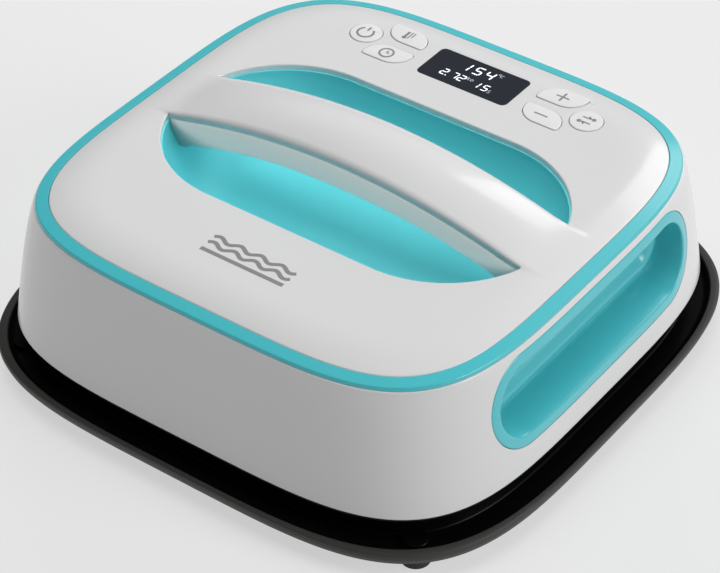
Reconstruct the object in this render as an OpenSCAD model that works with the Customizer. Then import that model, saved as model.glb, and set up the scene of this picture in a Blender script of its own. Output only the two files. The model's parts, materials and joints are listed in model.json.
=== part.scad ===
/* Portable heat press standing in its insulated base.
   The body is a superellipse in plan. +Z is up, -Y is the front, the origin is the
   middle of the footprint on the worktop. Lengths are millimetres. */

/* [Housing] */
// Half width of the square housing at the trim ring
housing_half = 132; // [131:0.5:133]
// How much the half width grows from the trim ring to the lower edge
housing_flare = 11.1; // [10.5:0.1:11.5]
// Height of the trim ring above the worktop
trim_z = 92; // [92:0.5:94]
// Wall thickness of the housing skirt
skirt_wall = 3; // [2.5:0.1:3]
// Width of the coloured trim ring
trim_w = 6.8; // [6.5:0.1:7]
// Thickness of the top cover
cover_wall = 2.6; // [2.4:0.1:2.7]
// Height of the top cover's flat above the trim ring's lower edge
cover_rise = 6; // [5.8:0.1:6.2]

/* [Well and handle] */
// Radius of the round ends of the finger well
well_r = 60; // [59:0.5:60]
// Distance from the middle to the centre of each round end
well_run = 48; // [46:0.5:48.5]
// Depth of the well below the trim ring
well_depth = 40; // [38:0.5:40]
// Width of the handle
handle_w = 40; // [36:1:42]
// How far the handle's arch rises above the cover
handle_arch = 17.3; // [14:0.1:20]
// Depth of the handle's underside at its roots, below the trim ring
handle_root = 16; // [13:0.5:16.5]

/* [Side grips] */
// Length of each side grip
grip_len = 170; // [164:1:172]
// Height of each side grip
grip_h = 49; // [47:0.5:50]
// Distance from the middle plane to the grip's inner floor
grip_floor = 117.5; // [114:0.5:118]

/* [Control panel] */
// Width of the display window
window_w = 54; // [50:1:56]
// Depth of the display window, front to back
window_d = 26; // [24:1:27]
// Diameter of the two round keys
round_key_d = 17; // [15:0.5:17]
// Width of the four leaf-shaped keys
leaf_w = 24.4; // [23:0.2:24.6]
// Depth of the leaf-shaped keys, front to back
leaf_d = 13.4; // [13:0.1:13.6]
// How far a key travels
key_travel = 0.5; // [0.4:0.1:0.6]
// How far a key stands above the panel
key_proud = 0.6; // [0.6:0.1:0.9]

/* [Heating plate] */
// Side of the square heating plate
plate_side = 254; // [250:1:254]
// Corner radius of the plate
plate_r = 60; // [58:1:64]
// Thickness of the plate
plate_t = 10; // [8:0.5:10]

/* [Base] */
// Half width of the base at its rim
rim_half = 152.8; // [152:0.2:153.4]
// Height of the rubber feet
foot_h = 9; // [8.5:0.1:9.2]
// Diameter of the rubber feet
foot_d = 14.5; // [13:0.5:15]

/* [Hidden] */
fine = 48;
ring_n = 72;
gap = 0.3;
eps = 0.01;

// superellipse exponents of the housing, the top cover and the base's rim
square_n = 4.15;
skirt_n_gain = 0.05;
flare_pow = 0.68;
cover_n = 4.38;
rim_n = 4.08;
rim_low_n = 4.16;
rim_in_n = 3.9;
rib_n = 4.2;
bezel_in_n = 4.4;

// heights of the stacked parts
floor_z = 7;
floor_t = 3;
mat_z = floor_z + floor_t;
plate_z = mat_z + 7;
mat_t = plate_z - mat_z - gap;
rim_z = 15.2;
channel_z = 11.6;
rib_half = 136;
rib_z = 20;
gasket_t = 0.9;
skirt_z = 26.8;
bezel_z = skirt_z - 1.5;
bezel_t = 2.2;
bezel_in = 129.6;
element_d = 6.5;
element_z = plate_z + plate_t + element_d / 2;
shield_z = 45;
shield_side = 214;
shield_t = 1.2;
pad_z = element_z + element_d / 2 + 0.7;
cell_z = shield_z + shield_t;
chassis_z = 54;
chassis_t = 3;
power_board_z = chassis_z + chassis_t + 3;
board_t = 1.6;
control_z = trim_z - 6;
panel_z = trim_z + cover_rise;
cover_edge = 2.7;
cover_half = housing_half - trim_w;
shoulder_w = 22;
shoulder_pow = 2.4;

// places on the panel
panel_y = 95.8;
window_y = 95.5;
round_key_x = 67.1;
leaf_x = 47;
leaf_front_y = 86.7;
leaf_rear_y = 105.8;
leaf_r_small = 1.8;
leaf_r_large = 11;
light_at = [61, 111.2];
light_d = 1.6;
key_gap = 0.35;
KEYS = [
    ["power", [-round_key_x, panel_y]],
    ["mode", [round_key_x, panel_y]],
    ["temperature", [-leaf_x, leaf_rear_y]],
    ["timer", [-leaf_x, leaf_front_y]],
    ["plus", [leaf_x, leaf_rear_y]],
    ["minus", [leaf_x, leaf_front_y]]];
switch_side = 6;
switch_h = 3.5;
plunger_r = 1.65;
plunger_bore = 1.8;
plunger_top = control_z + board_t + switch_h + 1.3;

// fixings
foot_x = 118;
foot_y = 121;
foot_recess = 5;
screw_r = 1.4;
pilot_r = 1.5;
BOARD_BOSSES = [[-80, 84], [80, 84], [0, 78], [0, 114]];
POWER_POSTS = [[-58, 70], [58, 70], [-58, 104], [58, 104]];
BEZEL_BOSSES = [[-116.5, -116.5], [116.5, -116.5], [-116.5, 116.5], [116.5, 116.5],
    [0, -135.6], [0, 135.6]];
cover_post = [92, 72];
skirt_lug = [55, 131];
plate_post = [70, 70];
cell_at = [70, 98];
terminal = [14, 90];

// rear inlet
inlet_z = 74;
inlet_face = 132.9;
inlet_w = 50;
inlet_h = 27;
inlet_t = 2.5;
inlet_body = [28, 20, 20];
inlet_screw_x = 20;
cavity = [24.4, 17.2, 16];

// ---------- functions ----------

function skirt_half(z) = housing_half
    + housing_flare * pow(max(0, trim_z - z) / (trim_z - skirt_z), flare_pow);
function skirt_n(z) = square_n + skirt_n_gain * (trim_z - z) / (trim_z - skirt_z);

// distance from the middle to a superellipse of half width a at bearing t
function square_r(t, a, n) = a / pow(pow(abs(cos(t)), n) + pow(abs(sin(t)), n), 1 / n);

// distance from the middle to a stadium whose round ends have radius r
function stadium_r(t, r) = r * abs(cos(t)) <= well_run * abs(sin(t))
    ? r / abs(sin(t))
    : well_run * abs(cos(t)) + sqrt(r * r - pow(well_run * sin(t), 2));

function square_ring(a, n, z) = [for (i = [0 : ring_n - 1])
    let (t = 360 * i / ring_n, r = square_r(t, a, n)) [r * cos(t), r * sin(t), z]];
function stadium_ring(r, z) = [for (i = [0 : ring_n - 1])
    let (t = 360 * i / ring_n, q = stadium_r(t, r)) [q * cos(t), q * sin(t), z]];

// superellipse measure of a point on the cover, and the cover's height there
function square_of(x, y) = pow(pow(abs(x), cover_n) + pow(abs(y), cover_n), 1 / cover_n);
function cover_z(x, y) = trim_z + cover_edge + (cover_rise - cover_edge)
    * (1 - pow(1 - min(1, max(0, cover_half - square_of(x, y)) / shoulder_w), shoulder_pow));

// a ring of the cover, s = 0 at the well and 1 at the outer edge, dropped by d
function cover_ring(s, d) = [for (i = [0 : ring_n - 1])
    let (t = 360 * i / ring_n,
        q = (1 - s) * stadium_r(t, well_r + 1.2) + s * square_r(t, cover_half - 0.15, cover_n),
        x = q * cos(t), y = q * sin(t)) [x, y, cover_z(x, y) - d]];

// distance from the middle plane to the skirt's outer face
function skirt_x(y, z) = let (a = skirt_half(z), n = skirt_n(z))
    a * pow(1 - pow(min(1, abs(y) / a), n), 1 / n);

// a ring of the side grip: inset from its outline, then its depth below the skirt's face,
// or its own distance from the middle plane when flat is true
grip_n = 56;
grip_z = trim_z - 27.7;
function grip_point(t, inset) = let (r = grip_h / 2 - inset, run = grip_len / 2 - grip_h / 2)
    [run * sign(cos(t)) * (abs(cos(t)) > eps ? 1 : 0) + r * cos(t), r * sin(t)];
function grip_ring(inset, depth, flat) = [for (i = [0 : grip_n - 1])
    let (t = 360 * (i + 0.5) / grip_n, p = grip_point(t, inset), z = grip_z + p[1])
    [flat ? depth : skirt_x(p[0], z) - depth, p[0], z]];

// handle: top edge, crown and lower edge along x
function handle_s(x) = abs(x) / (well_run + well_r);
function handle_edge(x) = trim_z + 5.3 + handle_arch * (1 - pow(handle_s(x), 2));
function handle_crown(x) = 0.4 + 3 * max(0, 1 - pow(handle_s(x), 2));
function handle_low(x) = trim_z + 2 - (handle_root + 2) * pow(handle_s(x), 2.2);

// outline of a rectangle with its own radius at each corner, from rear right, anticlockwise
function rounded(w, d, radii) = [for (k = [0 : 3]) let (r = radii[k],
        c = [(k == 0 || k == 3 ? 1 : -1) * (w / 2 - r), (k < 2 ? 1 : -1) * (d / 2 - r)])
    for (j = [0 : 8]) let (t = 90 * k + 90 * j / 8) c + r * [cos(t), sin(t)]];

function key_pos(name) = [for (k = KEYS) if (k[0] == name) k[1]][0];
function leaf_radii(name) = name == "temperature" || name == "minus"
    ? [leaf_r_large, leaf_r_small, leaf_r_large, leaf_r_small]
    : [leaf_r_small, leaf_r_large, leaf_r_small, leaf_r_large];

// ---------- shared modules ----------

// skin over a list of rings of m points; the ends are capped unless the rings form a loop
module skin(rings, m, loop) {
    n = len(rings);
    last = loop ? n - 1 : n - 2;
    sides = [for (k = [0 : last], i = [0 : m - 1]) let (j = (i + 1) % m, q = (k + 1) % n)
        [k * m + i, k * m + j, q * m + j, q * m + i]];
    caps = loop ? [] : [[for (i = [m - 1 : -1 : 0]) i], [for (i = [0 : m - 1]) (n - 1) * m + i]];
    polyhedron(points = [for (r = rings) each r], faces = concat(sides, caps), convexity = 8);
}

// skin of a thin strip: each section is an outer edge followed by the inner edge backwards
module strip(sections, m) {
    n = len(sections);
    half = m / 2;
    sides = [for (k = [0 : n - 2], i = [0 : m - 1]) let (j = (i + 1) % m)
        [k * m + i, k * m + j, (k + 1) * m + j, (k + 1) * m + i]];
    first = [for (i = [0 : half - 2]) [i, m - 1 - i, m - 2 - i, i + 1]];
    end = (n - 1) * m;
    final = [for (i = [0 : half - 2]) [end + i, end + i + 1, end + m - 2 - i, end + m - 1 - i]];
    polyhedron(points = [for (s = sections) each s], faces = concat(sides, first, final),
        convexity = 8);
}

module at(points, z) {
    for (p = points) translate([p[0], p[1], z]) children();
}

module at_corners(p, z) {
    for (sx = [-1, 1], sy = [-1, 1]) translate([sx * p[0], sy * p[1], z]) children();
}

// square slab with round corners, made of true cylinders and flats
module slab(side, r, t, z) {
    h = side / 2;
    translate([0, 0, z]) union() {
        translate([-h + r, -h, 0]) cube([side - 2 * r, side, t]);
        translate([-h, -h + r, 0]) cube([side, side - 2 * r, t]);
        at_corners([h - r, h - r], 0) cylinder(r = r, h = t, $fn = fine * 2);
    }
}

module bore(r, h) {
    translate([0, 0, -eps]) cylinder(r = r, h = h + 2 * eps, $fn = fine);
}

// moulded boss, a little wider where it joins the wall above it
module drafted_boss(r, h) {
    hull() {
        cylinder(r = r, h = 0.5, $fn = 32);
        translate([0, 0, h - 0.5]) cylinder(r = r + 0.5, h = 0.5, $fn = 32);
    }
}

// screw with its head below z = 0 and its shank above it
module screw(len, head_r = 2.75, head_h = 1.8) {
    translate([0, 0, -head_h]) difference() {
        cylinder(r = head_r, h = head_h, $fn = fine);
        translate([0, 0, -eps]) cylinder(r = head_r / 2.4, h = head_h / 2, $fn = 6);
    }
    cylinder(r = screw_r, h = len, $fn = fine);
}

module lead(points, r) {
    for (i = [0 : len(points) - 2]) {
        a = points[i];
        d = points[i + 1] - a;
        translate(a) rotate([0, acos(d[2] / norm(d)), atan2(d[1], d[0])])
            cylinder(r = r, h = norm(d), $fn = fine);
    }
    for (i = [1 : len(points) - 2]) translate(points[i]) sphere(r = r, $fn = fine);
}

// ---------- base ----------

module base_tray() {
    rings = [
        square_ring(rib_half - 5.8, rib_n, mat_z),
        square_ring(rib_half - 4.8, rib_n, mat_z + 1),
        square_ring(rib_half - 3.6, rib_n, rib_z - 0.7),
        square_ring(rib_half - 3, rib_n, rib_z),
        square_ring(rib_half - 0.6, rib_n, rib_z),
        square_ring(rib_half, rib_n, rib_z - 0.7),
        square_ring(rib_half + 0.8, rib_n, channel_z + 1),
        square_ring(rib_half + 1.8, rib_n, channel_z),
        square_ring(rim_half - 6.4, rim_in_n, channel_z),
        square_ring(rim_half - 5.2, rim_in_n, channel_z + 0.3),
        square_ring(rim_half - 4.2, rim_in_n, channel_z + 1.2),
        square_ring(rim_half - 3.2, rim_in_n, rim_z - 1),
        square_ring(rim_half - 2.6, rim_in_n, rim_z - 0.3),
        square_ring(rim_half - 1.8, 3.98, rim_z),
        square_ring(rim_half - 1.2, 4.02, rim_z),
        square_ring(rim_half - 0.4, rim_n, rim_z - 0.5),
        square_ring(rim_half, rim_n, rim_z - 1.5),
        square_ring(rim_half - 0.1, rim_n, rim_z - 2.8),
        square_ring(rim_half - 0.6, rim_low_n, foot_h + 1.6),
        square_ring(rim_half - 1.4, rim_low_n, foot_h + 0.5),
        square_ring(rim_half - 2.4, rim_low_n, foot_h),
        square_ring(rib_half - 1.6, rib_n, foot_h),
        square_ring(rib_half - 3, rib_n, floor_z)];
    color("#1b1c1e") difference() {
        union() {
            skin(rings, ring_n, false);
            at_corners([foot_x, foot_y], foot_h) cylinder(r = 6.2, h = 5, $fn = fine);
        }
        at_corners([foot_x, foot_y], foot_h) bore(pilot_r, 4);
    }
}

module insulating_mat() {
    color("#4a4b4d") slab(250, 58, mat_t, mat_z);
}

module rim_gasket() {
    out = rib_half - 0.7;
    color("#3a3b3d") skin([
        square_ring(out, rib_n, rib_z + gasket_t),
        square_ring(out, rib_n, rib_z),
        square_ring(out - 2.2, rib_n, rib_z),
        square_ring(out - 2.2, rib_n, rib_z + gasket_t)], ring_n, true);
}

module foot(x, y) {
    color("#222222") translate([x, y, 0]) difference() {
        rotate_extrude($fn = fine) polygon([[0, 0], [foot_d / 2 - 0.6, 0], [foot_d / 2, 0.6],
            [foot_d / 2 - 0.4, foot_h - 0.4], [foot_d / 2 - 0.8, foot_h], [0, foot_h]]);
        bore(3.5, foot_recess);
        bore(1.7, foot_h);
    }
}
module foot_front_left() foot(-foot_x, -foot_y);
module foot_front_right() foot(foot_x, -foot_y);
module foot_rear_left() foot(-foot_x, foot_y);
module foot_rear_right() foot(foot_x, foot_y);

module foot_screws() {
    color("silver") at_corners([foot_x, foot_y], foot_recess) screw(7, 3.1, 2);
}

// ---------- housing ----------

module grip_opening() {
    for (sx = [-1, 1]) translate([sx * 100, 0, grip_z]) rotate([0, sx * 90, 0])
        linear_extrude(60) union() {
            square([grip_h + 2 * gap, grip_len - grip_h], center = true);
            for (sy = [-1, 1]) translate([0, sy * (grip_len - grip_h) / 2])
                circle(r = grip_h / 2 + gap, $fn = fine * 2);
        }
}

module housing_skirt() {
    steps = 9;
    top = trim_z - 0.3;
    heights = [for (k = [0 : steps]) top - (top - skirt_z) * k / steps];
    outer = [for (z = heights) square_ring(skirt_half(z), skirt_n(z), z)];
    inner = [for (k = [steps : -1 : 0]) let (z = heights[k])
        square_ring(skirt_half(z) - skirt_wall, skirt_n(z), z)];
    recess_h = inlet_h + 4;
    color("#e4e3e2") difference() {
        union() {
            skin(concat(outer, inner), ring_n, true);
            at(BEZEL_BOSSES, bezel_z + bezel_t + 0.1) cylinder(r = 4.5, h = 12, $fn = fine);
            at_corners(skirt_lug, chassis_z + chassis_t + 0.1)
                cylinder(r = 5.2, h = 13, $fn = fine);
            translate([-31, 0, 0]) rotate([90, 0, 90]) linear_extrude(62) polygon([
                [inlet_face - 3.2, inlet_z - 16.4], [inlet_face + 5.6, inlet_z - 16.4],
                [inlet_face - 0.3, inlet_z + 14.6], [inlet_face - 3.2, inlet_z + 14.6]]);
        }
        grip_opening();
        at(BEZEL_BOSSES, bezel_z + bezel_t + 0.1) bore(pilot_r, 10);
        at_corners(skirt_lug, chassis_z + chassis_t + 0.1) bore(pilot_r, 11);
        translate([-inlet_w / 2 - 1, inlet_face, inlet_z - recess_h / 2])
            cube([inlet_w + 2, 20, recess_h]);
        translate([-inlet_body[0] / 2 - 0.2, inlet_face - 10, inlet_z - inlet_body[1] / 2 - 0.2])
            cube([inlet_body[0] + 0.4, 20, inlet_body[1] + 0.4]);
        for (sx = [-1, 1]) translate([sx * inlet_screw_x, inlet_face + 1, inlet_z])
            rotate([90, 0, 0]) bore(pilot_r, 8);
    }
}

module bottom_bezel() {
    edge = skirt_half(skirt_z);
    color("#2b2c2e") difference() {
        skin([
            square_ring(edge - 0.5, skirt_n(skirt_z), skirt_z - 0.1),
            square_ring(edge - 0.6, skirt_n(skirt_z), bezel_z + 0.4),
            square_ring(edge - 1.1, skirt_n(skirt_z), bezel_z),
            square_ring(bezel_in, bezel_in_n, bezel_z),
            square_ring(bezel_in, bezel_in_n, bezel_z + bezel_t),
            square_ring(edge - skirt_wall - 0.4, square_n, bezel_z + bezel_t),
            square_ring(edge - skirt_wall - 0.4, square_n, skirt_z - 0.1)],
            ring_n, true);
        at(BEZEL_BOSSES, bezel_z) {
            bore(screw_r + 0.2, bezel_t);
            translate([0, 0, -eps]) cylinder(r1 = 3, r2 = screw_r + 0.2, h = 1.5, $fn = fine);
        }
    }
}

module bezel_screws() {
    color("silver") at(BEZEL_BOSSES, bezel_z + 0.05) {
        cylinder(r1 = 2.8, r2 = screw_r, h = 1.4, $fn = fine);
        cylinder(r = screw_r, h = 10.5, $fn = fine);
    }
}

module trim_ring() {
    plug = housing_half - skirt_wall;
    color("#49b2be") skin([
        square_ring(cover_half, cover_n, trim_z + cover_edge + 0.05),
        square_ring(housing_half - 1.6, square_n, trim_z + 1.85),
        square_ring(housing_half - 0.9, square_n, trim_z + 1.5),
        square_ring(housing_half - 0.4, square_n, trim_z + 0.8),
        square_ring(housing_half, square_n, trim_z - 0.2),
        square_ring(plug - 0.2, square_n, trim_z - 0.2),
        square_ring(plug - 0.4, square_n, trim_z - 3.5),
        square_ring(cover_half - 4, cover_n, trim_z - 2),
        square_ring(cover_half - 4, cover_n, trim_z),
        square_ring(cover_half, cover_n, trim_z)], ring_n, true);
}

module key_outline(name, grow) {
    if (name == "power" || name == "mode") {
        circle(d = round_key_d + 2 * grow, $fn = fine);
    } else {
        radii = [for (r = leaf_radii(name)) r + grow];
        polygon(rounded(leaf_w + 2 * grow, leaf_d + 2 * grow, radii));
    }
}

// top shell of the handle, one section every few millimetres; its ends lie inside the cover
module handle_shell() {
    steps = 22;
    reach = well_run + well_r + 4;
    wall = 2.5;
    k_n = 8;
    h = handle_w / 2;
    lowest = panel_z - cover_wall - 0.3;
    sections = [for (s = [0 : steps]) let (x = reach * (2 * s / steps - 1), e = handle_edge(x),
            c = handle_crown(x), rim = max(e - 3.2, lowest), side = max(e - 0.8, rim + 0.2),
            inside = max(e - 1.8, rim + 0.3))
        concat(
            [[x, -h, rim], [x, -h, side]],
            [for (k = [0 : k_n]) let (v = 2 * k / k_n - 1)
                [x, v * (h - 0.8), e + c * (1 - v * v)]],
            [[x, h, side], [x, h, rim], [x, h - wall, rim], [x, h - wall, inside]],
            [for (k = [k_n : -1 : 0]) let (v = 2 * k / k_n - 1)
                [x, v * (h - wall - 0.6), max(e - wall + c * (1 - v * v), inside + 0.1)]],
            [[x, wall - h, inside], [x, wall - h, rim]])];
    strip(sections, 2 * (k_n + 5));
}

module top_cover() {
    top = [for (s = [0, 0.12, 0.3, 0.5, 0.68, 0.82, 0.92, 1]) cover_ring(s, 0)];
    under = [for (s = [1, 0.92, 0.82, 0.68, 0.4, 0.1]) cover_ring(s, cover_wall)];
    rim = [stadium_ring(well_r + 2.6, panel_z - cover_wall - 0.4),
        stadium_ring(well_r, panel_z - 3),
        stadium_ring(well_r, panel_z - 1.2)];
    color("#eeedec") difference() {
        union() {
            skin(concat(top, under, rim), ring_n, true);
            handle_shell();
            at(BOARD_BOSSES, control_z + board_t) drafted_boss(3, 8.2);
            at_corners(cover_post, 75) drafted_boss(4, panel_z - 76.5);
        }
        at(BOARD_BOSSES, control_z + board_t) bore(pilot_r, 5.2);
        at_corners(cover_post, 75) bore(pilot_r, 16);
        for (k = KEYS) translate([k[1][0], k[1][1], panel_z - 8])
            linear_extrude(12) key_outline(k[0], key_gap);
        translate([0, window_y, panel_z - 8]) linear_extrude(12)
            polygon(rounded(window_w + 0.3, window_d + 0.3, [3.1, 3.1, 3.1, 3.1]));
        translate([light_at[0], light_at[1], panel_z - 8])
            cylinder(d = light_d + 0.3, h = 12, $fn = fine);
    }
}

// lower shell of the handle, its ends shaped to the well's curved end walls
module handle_grip() {
    steps = 20;
    wall = 2.5;
    h = handle_w / 2 - 0.2;
    half_low = 16;
    end_r = well_r - 3.9;
    knee = trim_z - 12;
    // half length of the grip at depth y, a little short of the liner's wall at height z
    function reach(y, z) = well_run
        + sqrt(pow(end_r + (z > knee ? 0.2 : 0.36) * (z - knee), 2) - y * y);
    function place(s, y, z) = [s * reach(y, z), y, z];
    sections = [for (i = [0 : steps]) let (s = 2 * i / steps - 1, x = s * (well_run + end_r),
            top_x = s * reach(h, handle_edge(x) - 3.3), e = handle_edge(top_x) - 3.5,
            l = handle_low(x))
        concat(
            [for (p = [[h, e], [h - 0.6, e - 0.35 * (e - l)], [half_low + 0.8, l + 1.4],
                [half_low - 1, l - 0.2], [8, l - 1.2], [0, l - 1.5], [-8, l - 1.2],
                [1 - half_low, l - 0.2], [-half_low - 0.8, l + 1.4],
                [0.6 - h, e - 0.35 * (e - l)], [-h, e]]) place(s, p[0], p[1])],
            [for (p = [[wall - h, e], [wall + 0.6 - h, e - 0.35 * (e - l)],
                [wall - half_low - 0.4, l + 2.6], [3 - half_low, l + 1.9], [-8, l + 1],
                [0, l + 0.7], [8, l + 1], [half_low - 3, l + 1.9], [half_low - wall + 0.4, l + 2.6],
                [h - wall - 0.6, e - 0.35 * (e - l)], [h - wall, e]]) place(s, p[0], p[1])])];
    color("#d9d9d9") strip(sections, 22);
}

module well_liner() {
    floor = trim_z - well_depth;
    wall = 2;
    flange_z = panel_z - 3.2;
    color("#3cb0bd") skin([
        stadium_ring(20, floor),
        stadium_ring(well_r - 27, floor + 1),
        stadium_ring(well_r - 16, floor + 5),
        stadium_ring(well_r - 8.5, floor + 14),
        stadium_ring(well_r - 3.5, floor + 28),
        stadium_ring(well_r - 1, floor + 38),
        stadium_ring(well_r - 0.6, flange_z),
        stadium_ring(well_r + 5, flange_z),
        stadium_ring(well_r + 5, flange_z - wall),
        stadium_ring(well_r + 1.3, flange_z - wall),
        stadium_ring(well_r + 1, floor + 38),
        stadium_ring(well_r - 1.4, floor + 28),
        stadium_ring(well_r - 6.2, floor + 13.5),
        stadium_ring(well_r - 13.8, floor + 3.4),
        stadium_ring(well_r - 26, floor - 1.1),
        stadium_ring(20, floor - wall)], ring_n, false);
}

module side_grip() {
    color("#49b2be") skin([
        grip_ring(13, grip_floor, true),
        grip_ring(9.5, grip_floor + 2.5, true),
        grip_ring(8, 7, false),
        grip_ring(7.4, 3.6, false),
        grip_ring(6, 3, false),
        grip_ring(5.6, 0.3, false),
        grip_ring(5.2, -0.2, false),
        grip_ring(0.5, -0.2, false),
        grip_ring(0, 0.2, false),
        grip_ring(0, 2.8, false),
        grip_ring(4, 2.8, false),
        grip_ring(5.8, 7, false),
        grip_ring(7.2, grip_floor + 1.5, true),
        grip_ring(11, grip_floor - 2.4, true),
        grip_ring(13, grip_floor - 2.5, true)], grip_n, false);
}
module side_grip_right() side_grip();
module side_grip_left() mirror([1, 0, 0]) side_grip();

// ---------- control panel ----------

module display_window() {
    color("#20242c") translate([0, window_y, panel_z - 2.6]) linear_extrude(2.65)
        polygon(rounded(window_w, window_d, [3, 3, 3, 3]));
}

module display_module() {
    color("#2c2f36") translate([-window_w / 2 + 1, window_y - window_d / 2 + 1.5,
        control_z + board_t]) cube([window_w - 2, window_d - 3, 7.5]);
}

module control_board() {
    color("#2f6b45") difference() {
        translate([-84, 70, control_z]) cube([168, 48, board_t]);
        at(BOARD_BOSSES, control_z) bore(screw_r + 0.2, board_t);
    }
}

module board_screws() {
    color("silver") {
        at(BOARD_BOSSES, control_z) screw(6.2);
        at(POWER_POSTS, power_board_z + board_t) rotate([180, 0, 0]) screw(4.2);
    }
}

module status_light() {
    base = control_z + board_t;
    color("#f4f4ee") translate([light_at[0], light_at[1], base])
        cylinder(d = light_d, h = cover_z(light_at[0], light_at[1]) - base, $fn = fine);
}

module buzzer() {
    color("#1d1d1d") translate([-66, 98, control_z - 6.5]) difference() {
        cylinder(r = 6, h = 6.5, $fn = fine);
        bore(1, 1);
    }
}

module tact_switches() {
    color("#33363a") for (k = KEYS)
        translate([k[1][0], k[1][1], control_z + board_t]) difference() {
            translate([-switch_side / 2, -switch_side / 2, 0])
                cube([switch_side, switch_side, switch_h]);
            translate([0, 0, 1.3]) bore(plunger_bore, switch_h);
        }
}

module plunger(name) {
    p = key_pos(name);
    low = control_z + board_t + 1.3 + key_travel + 0.3;
    color("#202020") translate([p[0], p[1], low])
        cylinder(r = plunger_r, h = plunger_top - low, $fn = fine);
}
module power_plunger() plunger("power");
module mode_plunger() plunger("mode");
module temperature_plunger() plunger("temperature");
module timer_plunger() plunger("timer");
module plus_plunger() plunger("plus");
module minus_plunger() plunger("minus");

// a key: cap through the cover, a flange that holds it in, and a stem down to its switch
module key(name) {
    p = key_pos(name);
    flange_top = panel_z - cover_wall - 1.6;
    flange_t = 1;
    color("#f2f2f2") translate([p[0], p[1], 0]) union() {
        translate([0, 0, flange_top]) linear_extrude(panel_z + key_proud - flange_top - 0.4)
            key_outline(name, 0);
        translate([0, 0, panel_z + key_proud - 0.4]) linear_extrude(0.4) key_outline(name, -0.5);
        translate([0, 0, flange_top - flange_t]) linear_extrude(flange_t) key_outline(name, 0.6);
        translate([0, 0, plunger_top])
            cylinder(r = 2.2, h = flange_top - flange_t - plunger_top, $fn = fine);
    }
}
module power_key() key("power");
module mode_key() key("mode");
module temperature_key() key("temperature");
module timer_key() key("timer");
module plus_key() key("plus");
module minus_key() key("minus");

// ---------- frame and electronics ----------

module chassis_plate(side) {
    translate([0, 0, chassis_z]) linear_extrude(chassis_t) intersection() {
        polygon([for (p = square_ring(135, 4.2, 0)) [p[0], p[1]]]);
        translate([-104, side > 0 ? 62 : -136]) square([208, 74]);
    }
}

module chassis_holes(side) {
    for (sx = [-1, 1]) {
        translate([sx * cover_post[0], side * cover_post[1], chassis_z])
            bore(screw_r + 0.2, 75 - chassis_z);
        translate([sx * skirt_lug[0], side * skirt_lug[1], chassis_z])
            bore(screw_r + 0.2, chassis_t);
    }
}

module chassis_posts(side) {
    for (sx = [-1, 1]) translate([sx * cover_post[0], side * cover_post[1], chassis_z])
        cylinder(r = 4.5, h = 75 - chassis_z, $fn = fine);
}

module chassis_front() {
    color("#9a9ea3") difference() {
        union() {
            chassis_plate(-1);
            chassis_posts(-1);
        }
        chassis_holes(-1);
    }
}

module chassis_rear() {
    color("#9a9ea3") difference() {
        union() {
            chassis_plate(1);
            chassis_posts(1);
            at(POWER_POSTS, chassis_z) cylinder(r = 3.5, h = power_board_z - chassis_z, $fn = fine);
        }
        chassis_holes(1);
        at(POWER_POSTS, power_board_z - 3) bore(pilot_r, 3);
        for (sx = [-1, 1]) translate([sx * terminal[0], terminal[1], chassis_z])
            bore(6, chassis_t);
    }
}

module cover_screws() {
    color("silver") at_corners(cover_post, chassis_z) screw(34, 3.2, 2.2);
}

module skirt_screws() {
    color("silver") at_corners(skirt_lug, chassis_z) screw(13, 3.2, 2.2);
}

module power_board() {
    color("#2f6b45") difference() {
        translate([-66, 65, power_board_z]) cube([132, 44, board_t]);
        at(POWER_POSTS, power_board_z) bore(screw_r + 0.2, board_t);
    }
}

module relay() {
    color("#2a56a0") translate([26, 84, power_board_z + board_t]) cube([24, 15, 15]);
}

module transformer() {
    base = power_board_z + board_t;
    color("#c9a227") {
        translate([-50, 78, base]) cube([26, 20, 16]);
        translate([-54, 82, base + 4]) cube([4, 12, 8]);
        translate([-24, 82, base + 4]) cube([4, 12, 8]);
    }
}

module smoothing_capacitor() {
    color("#2b2b33") translate([0, 94, power_board_z + board_t])
        cylinder(r = 6.5, h = 17, $fn = fine);
}

// ---------- heating stack ----------

module heat_plate() {
    color("#3b3c3f") difference() {
        slab(plate_side, plate_r, plate_t, plate_z);
        at_corners(plate_post, plate_z + plate_t - 4) bore(2.1, 4);
    }
}

// a quarter bend of the element about c, starting at bearing t
module element_bend(c, r, t) {
    translate([c[0], c[1], 0]) rotate([0, 0, t]) rotate_extrude(angle = 90, $fn = 96)
        translate([r, 0]) circle(d = element_d - 0.02, $fn = fine);
}

module element_run(a, b) {
    d = b - a;
    translate([a[0], a[1], 0]) rotate([0, 90, atan2(d[1], d[0])])
        cylinder(d = element_d - 0.02, h = norm(d), $fn = fine);
}

module heating_element() {
    o = 90;
    i = 50;
    r = 18;
    t = terminal[0];
    rise = chassis_z - 3 - element_z;
    color("#8b8d90") translate([0, 0, element_z]) union() {
        element_run([t, o], [o - r, o]);
        element_bend([o - r, o - r], r, 0);
        element_run([o, r - o], [o, o - r]);
        element_bend([o - r, r - o], r, 270);
        element_run([r - o, -o], [o - r, -o]);
        element_bend([r - o, r - o], r, 180);
        element_run([-o, r - o], [-o, o - r]);
        element_bend([r - o, o - r], r, 90);
        element_run([r - o, o], [-i - r + 4, o]);
        element_bend([-i - r + 4, o - r], r, 0);
        element_run([4 - i, r - i], [4 - i, o - r]);
        element_bend([r + 4 - i, r - i], r, 180);
        element_run([r + 4 - i, -i], [i - r, -i]);
        element_bend([i - r, r - i], r, 270);
        element_run([i, r - i], [i, i - r]);
        element_bend([i - r, i - r], r, 0);
        element_run([r - t, i], [i - r, i]);
        element_bend([r - t, i + r], r, 180);
        element_run([-t, i + r], [-t, o]);
        for (sx = [-1, 1]) translate([sx * t, o, 0]) {
            sphere(d = element_d - 0.02, $fn = fine);
            cylinder(d = element_d - 0.02, h = rise, $fn = fine);
        }
    }
}

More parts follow.
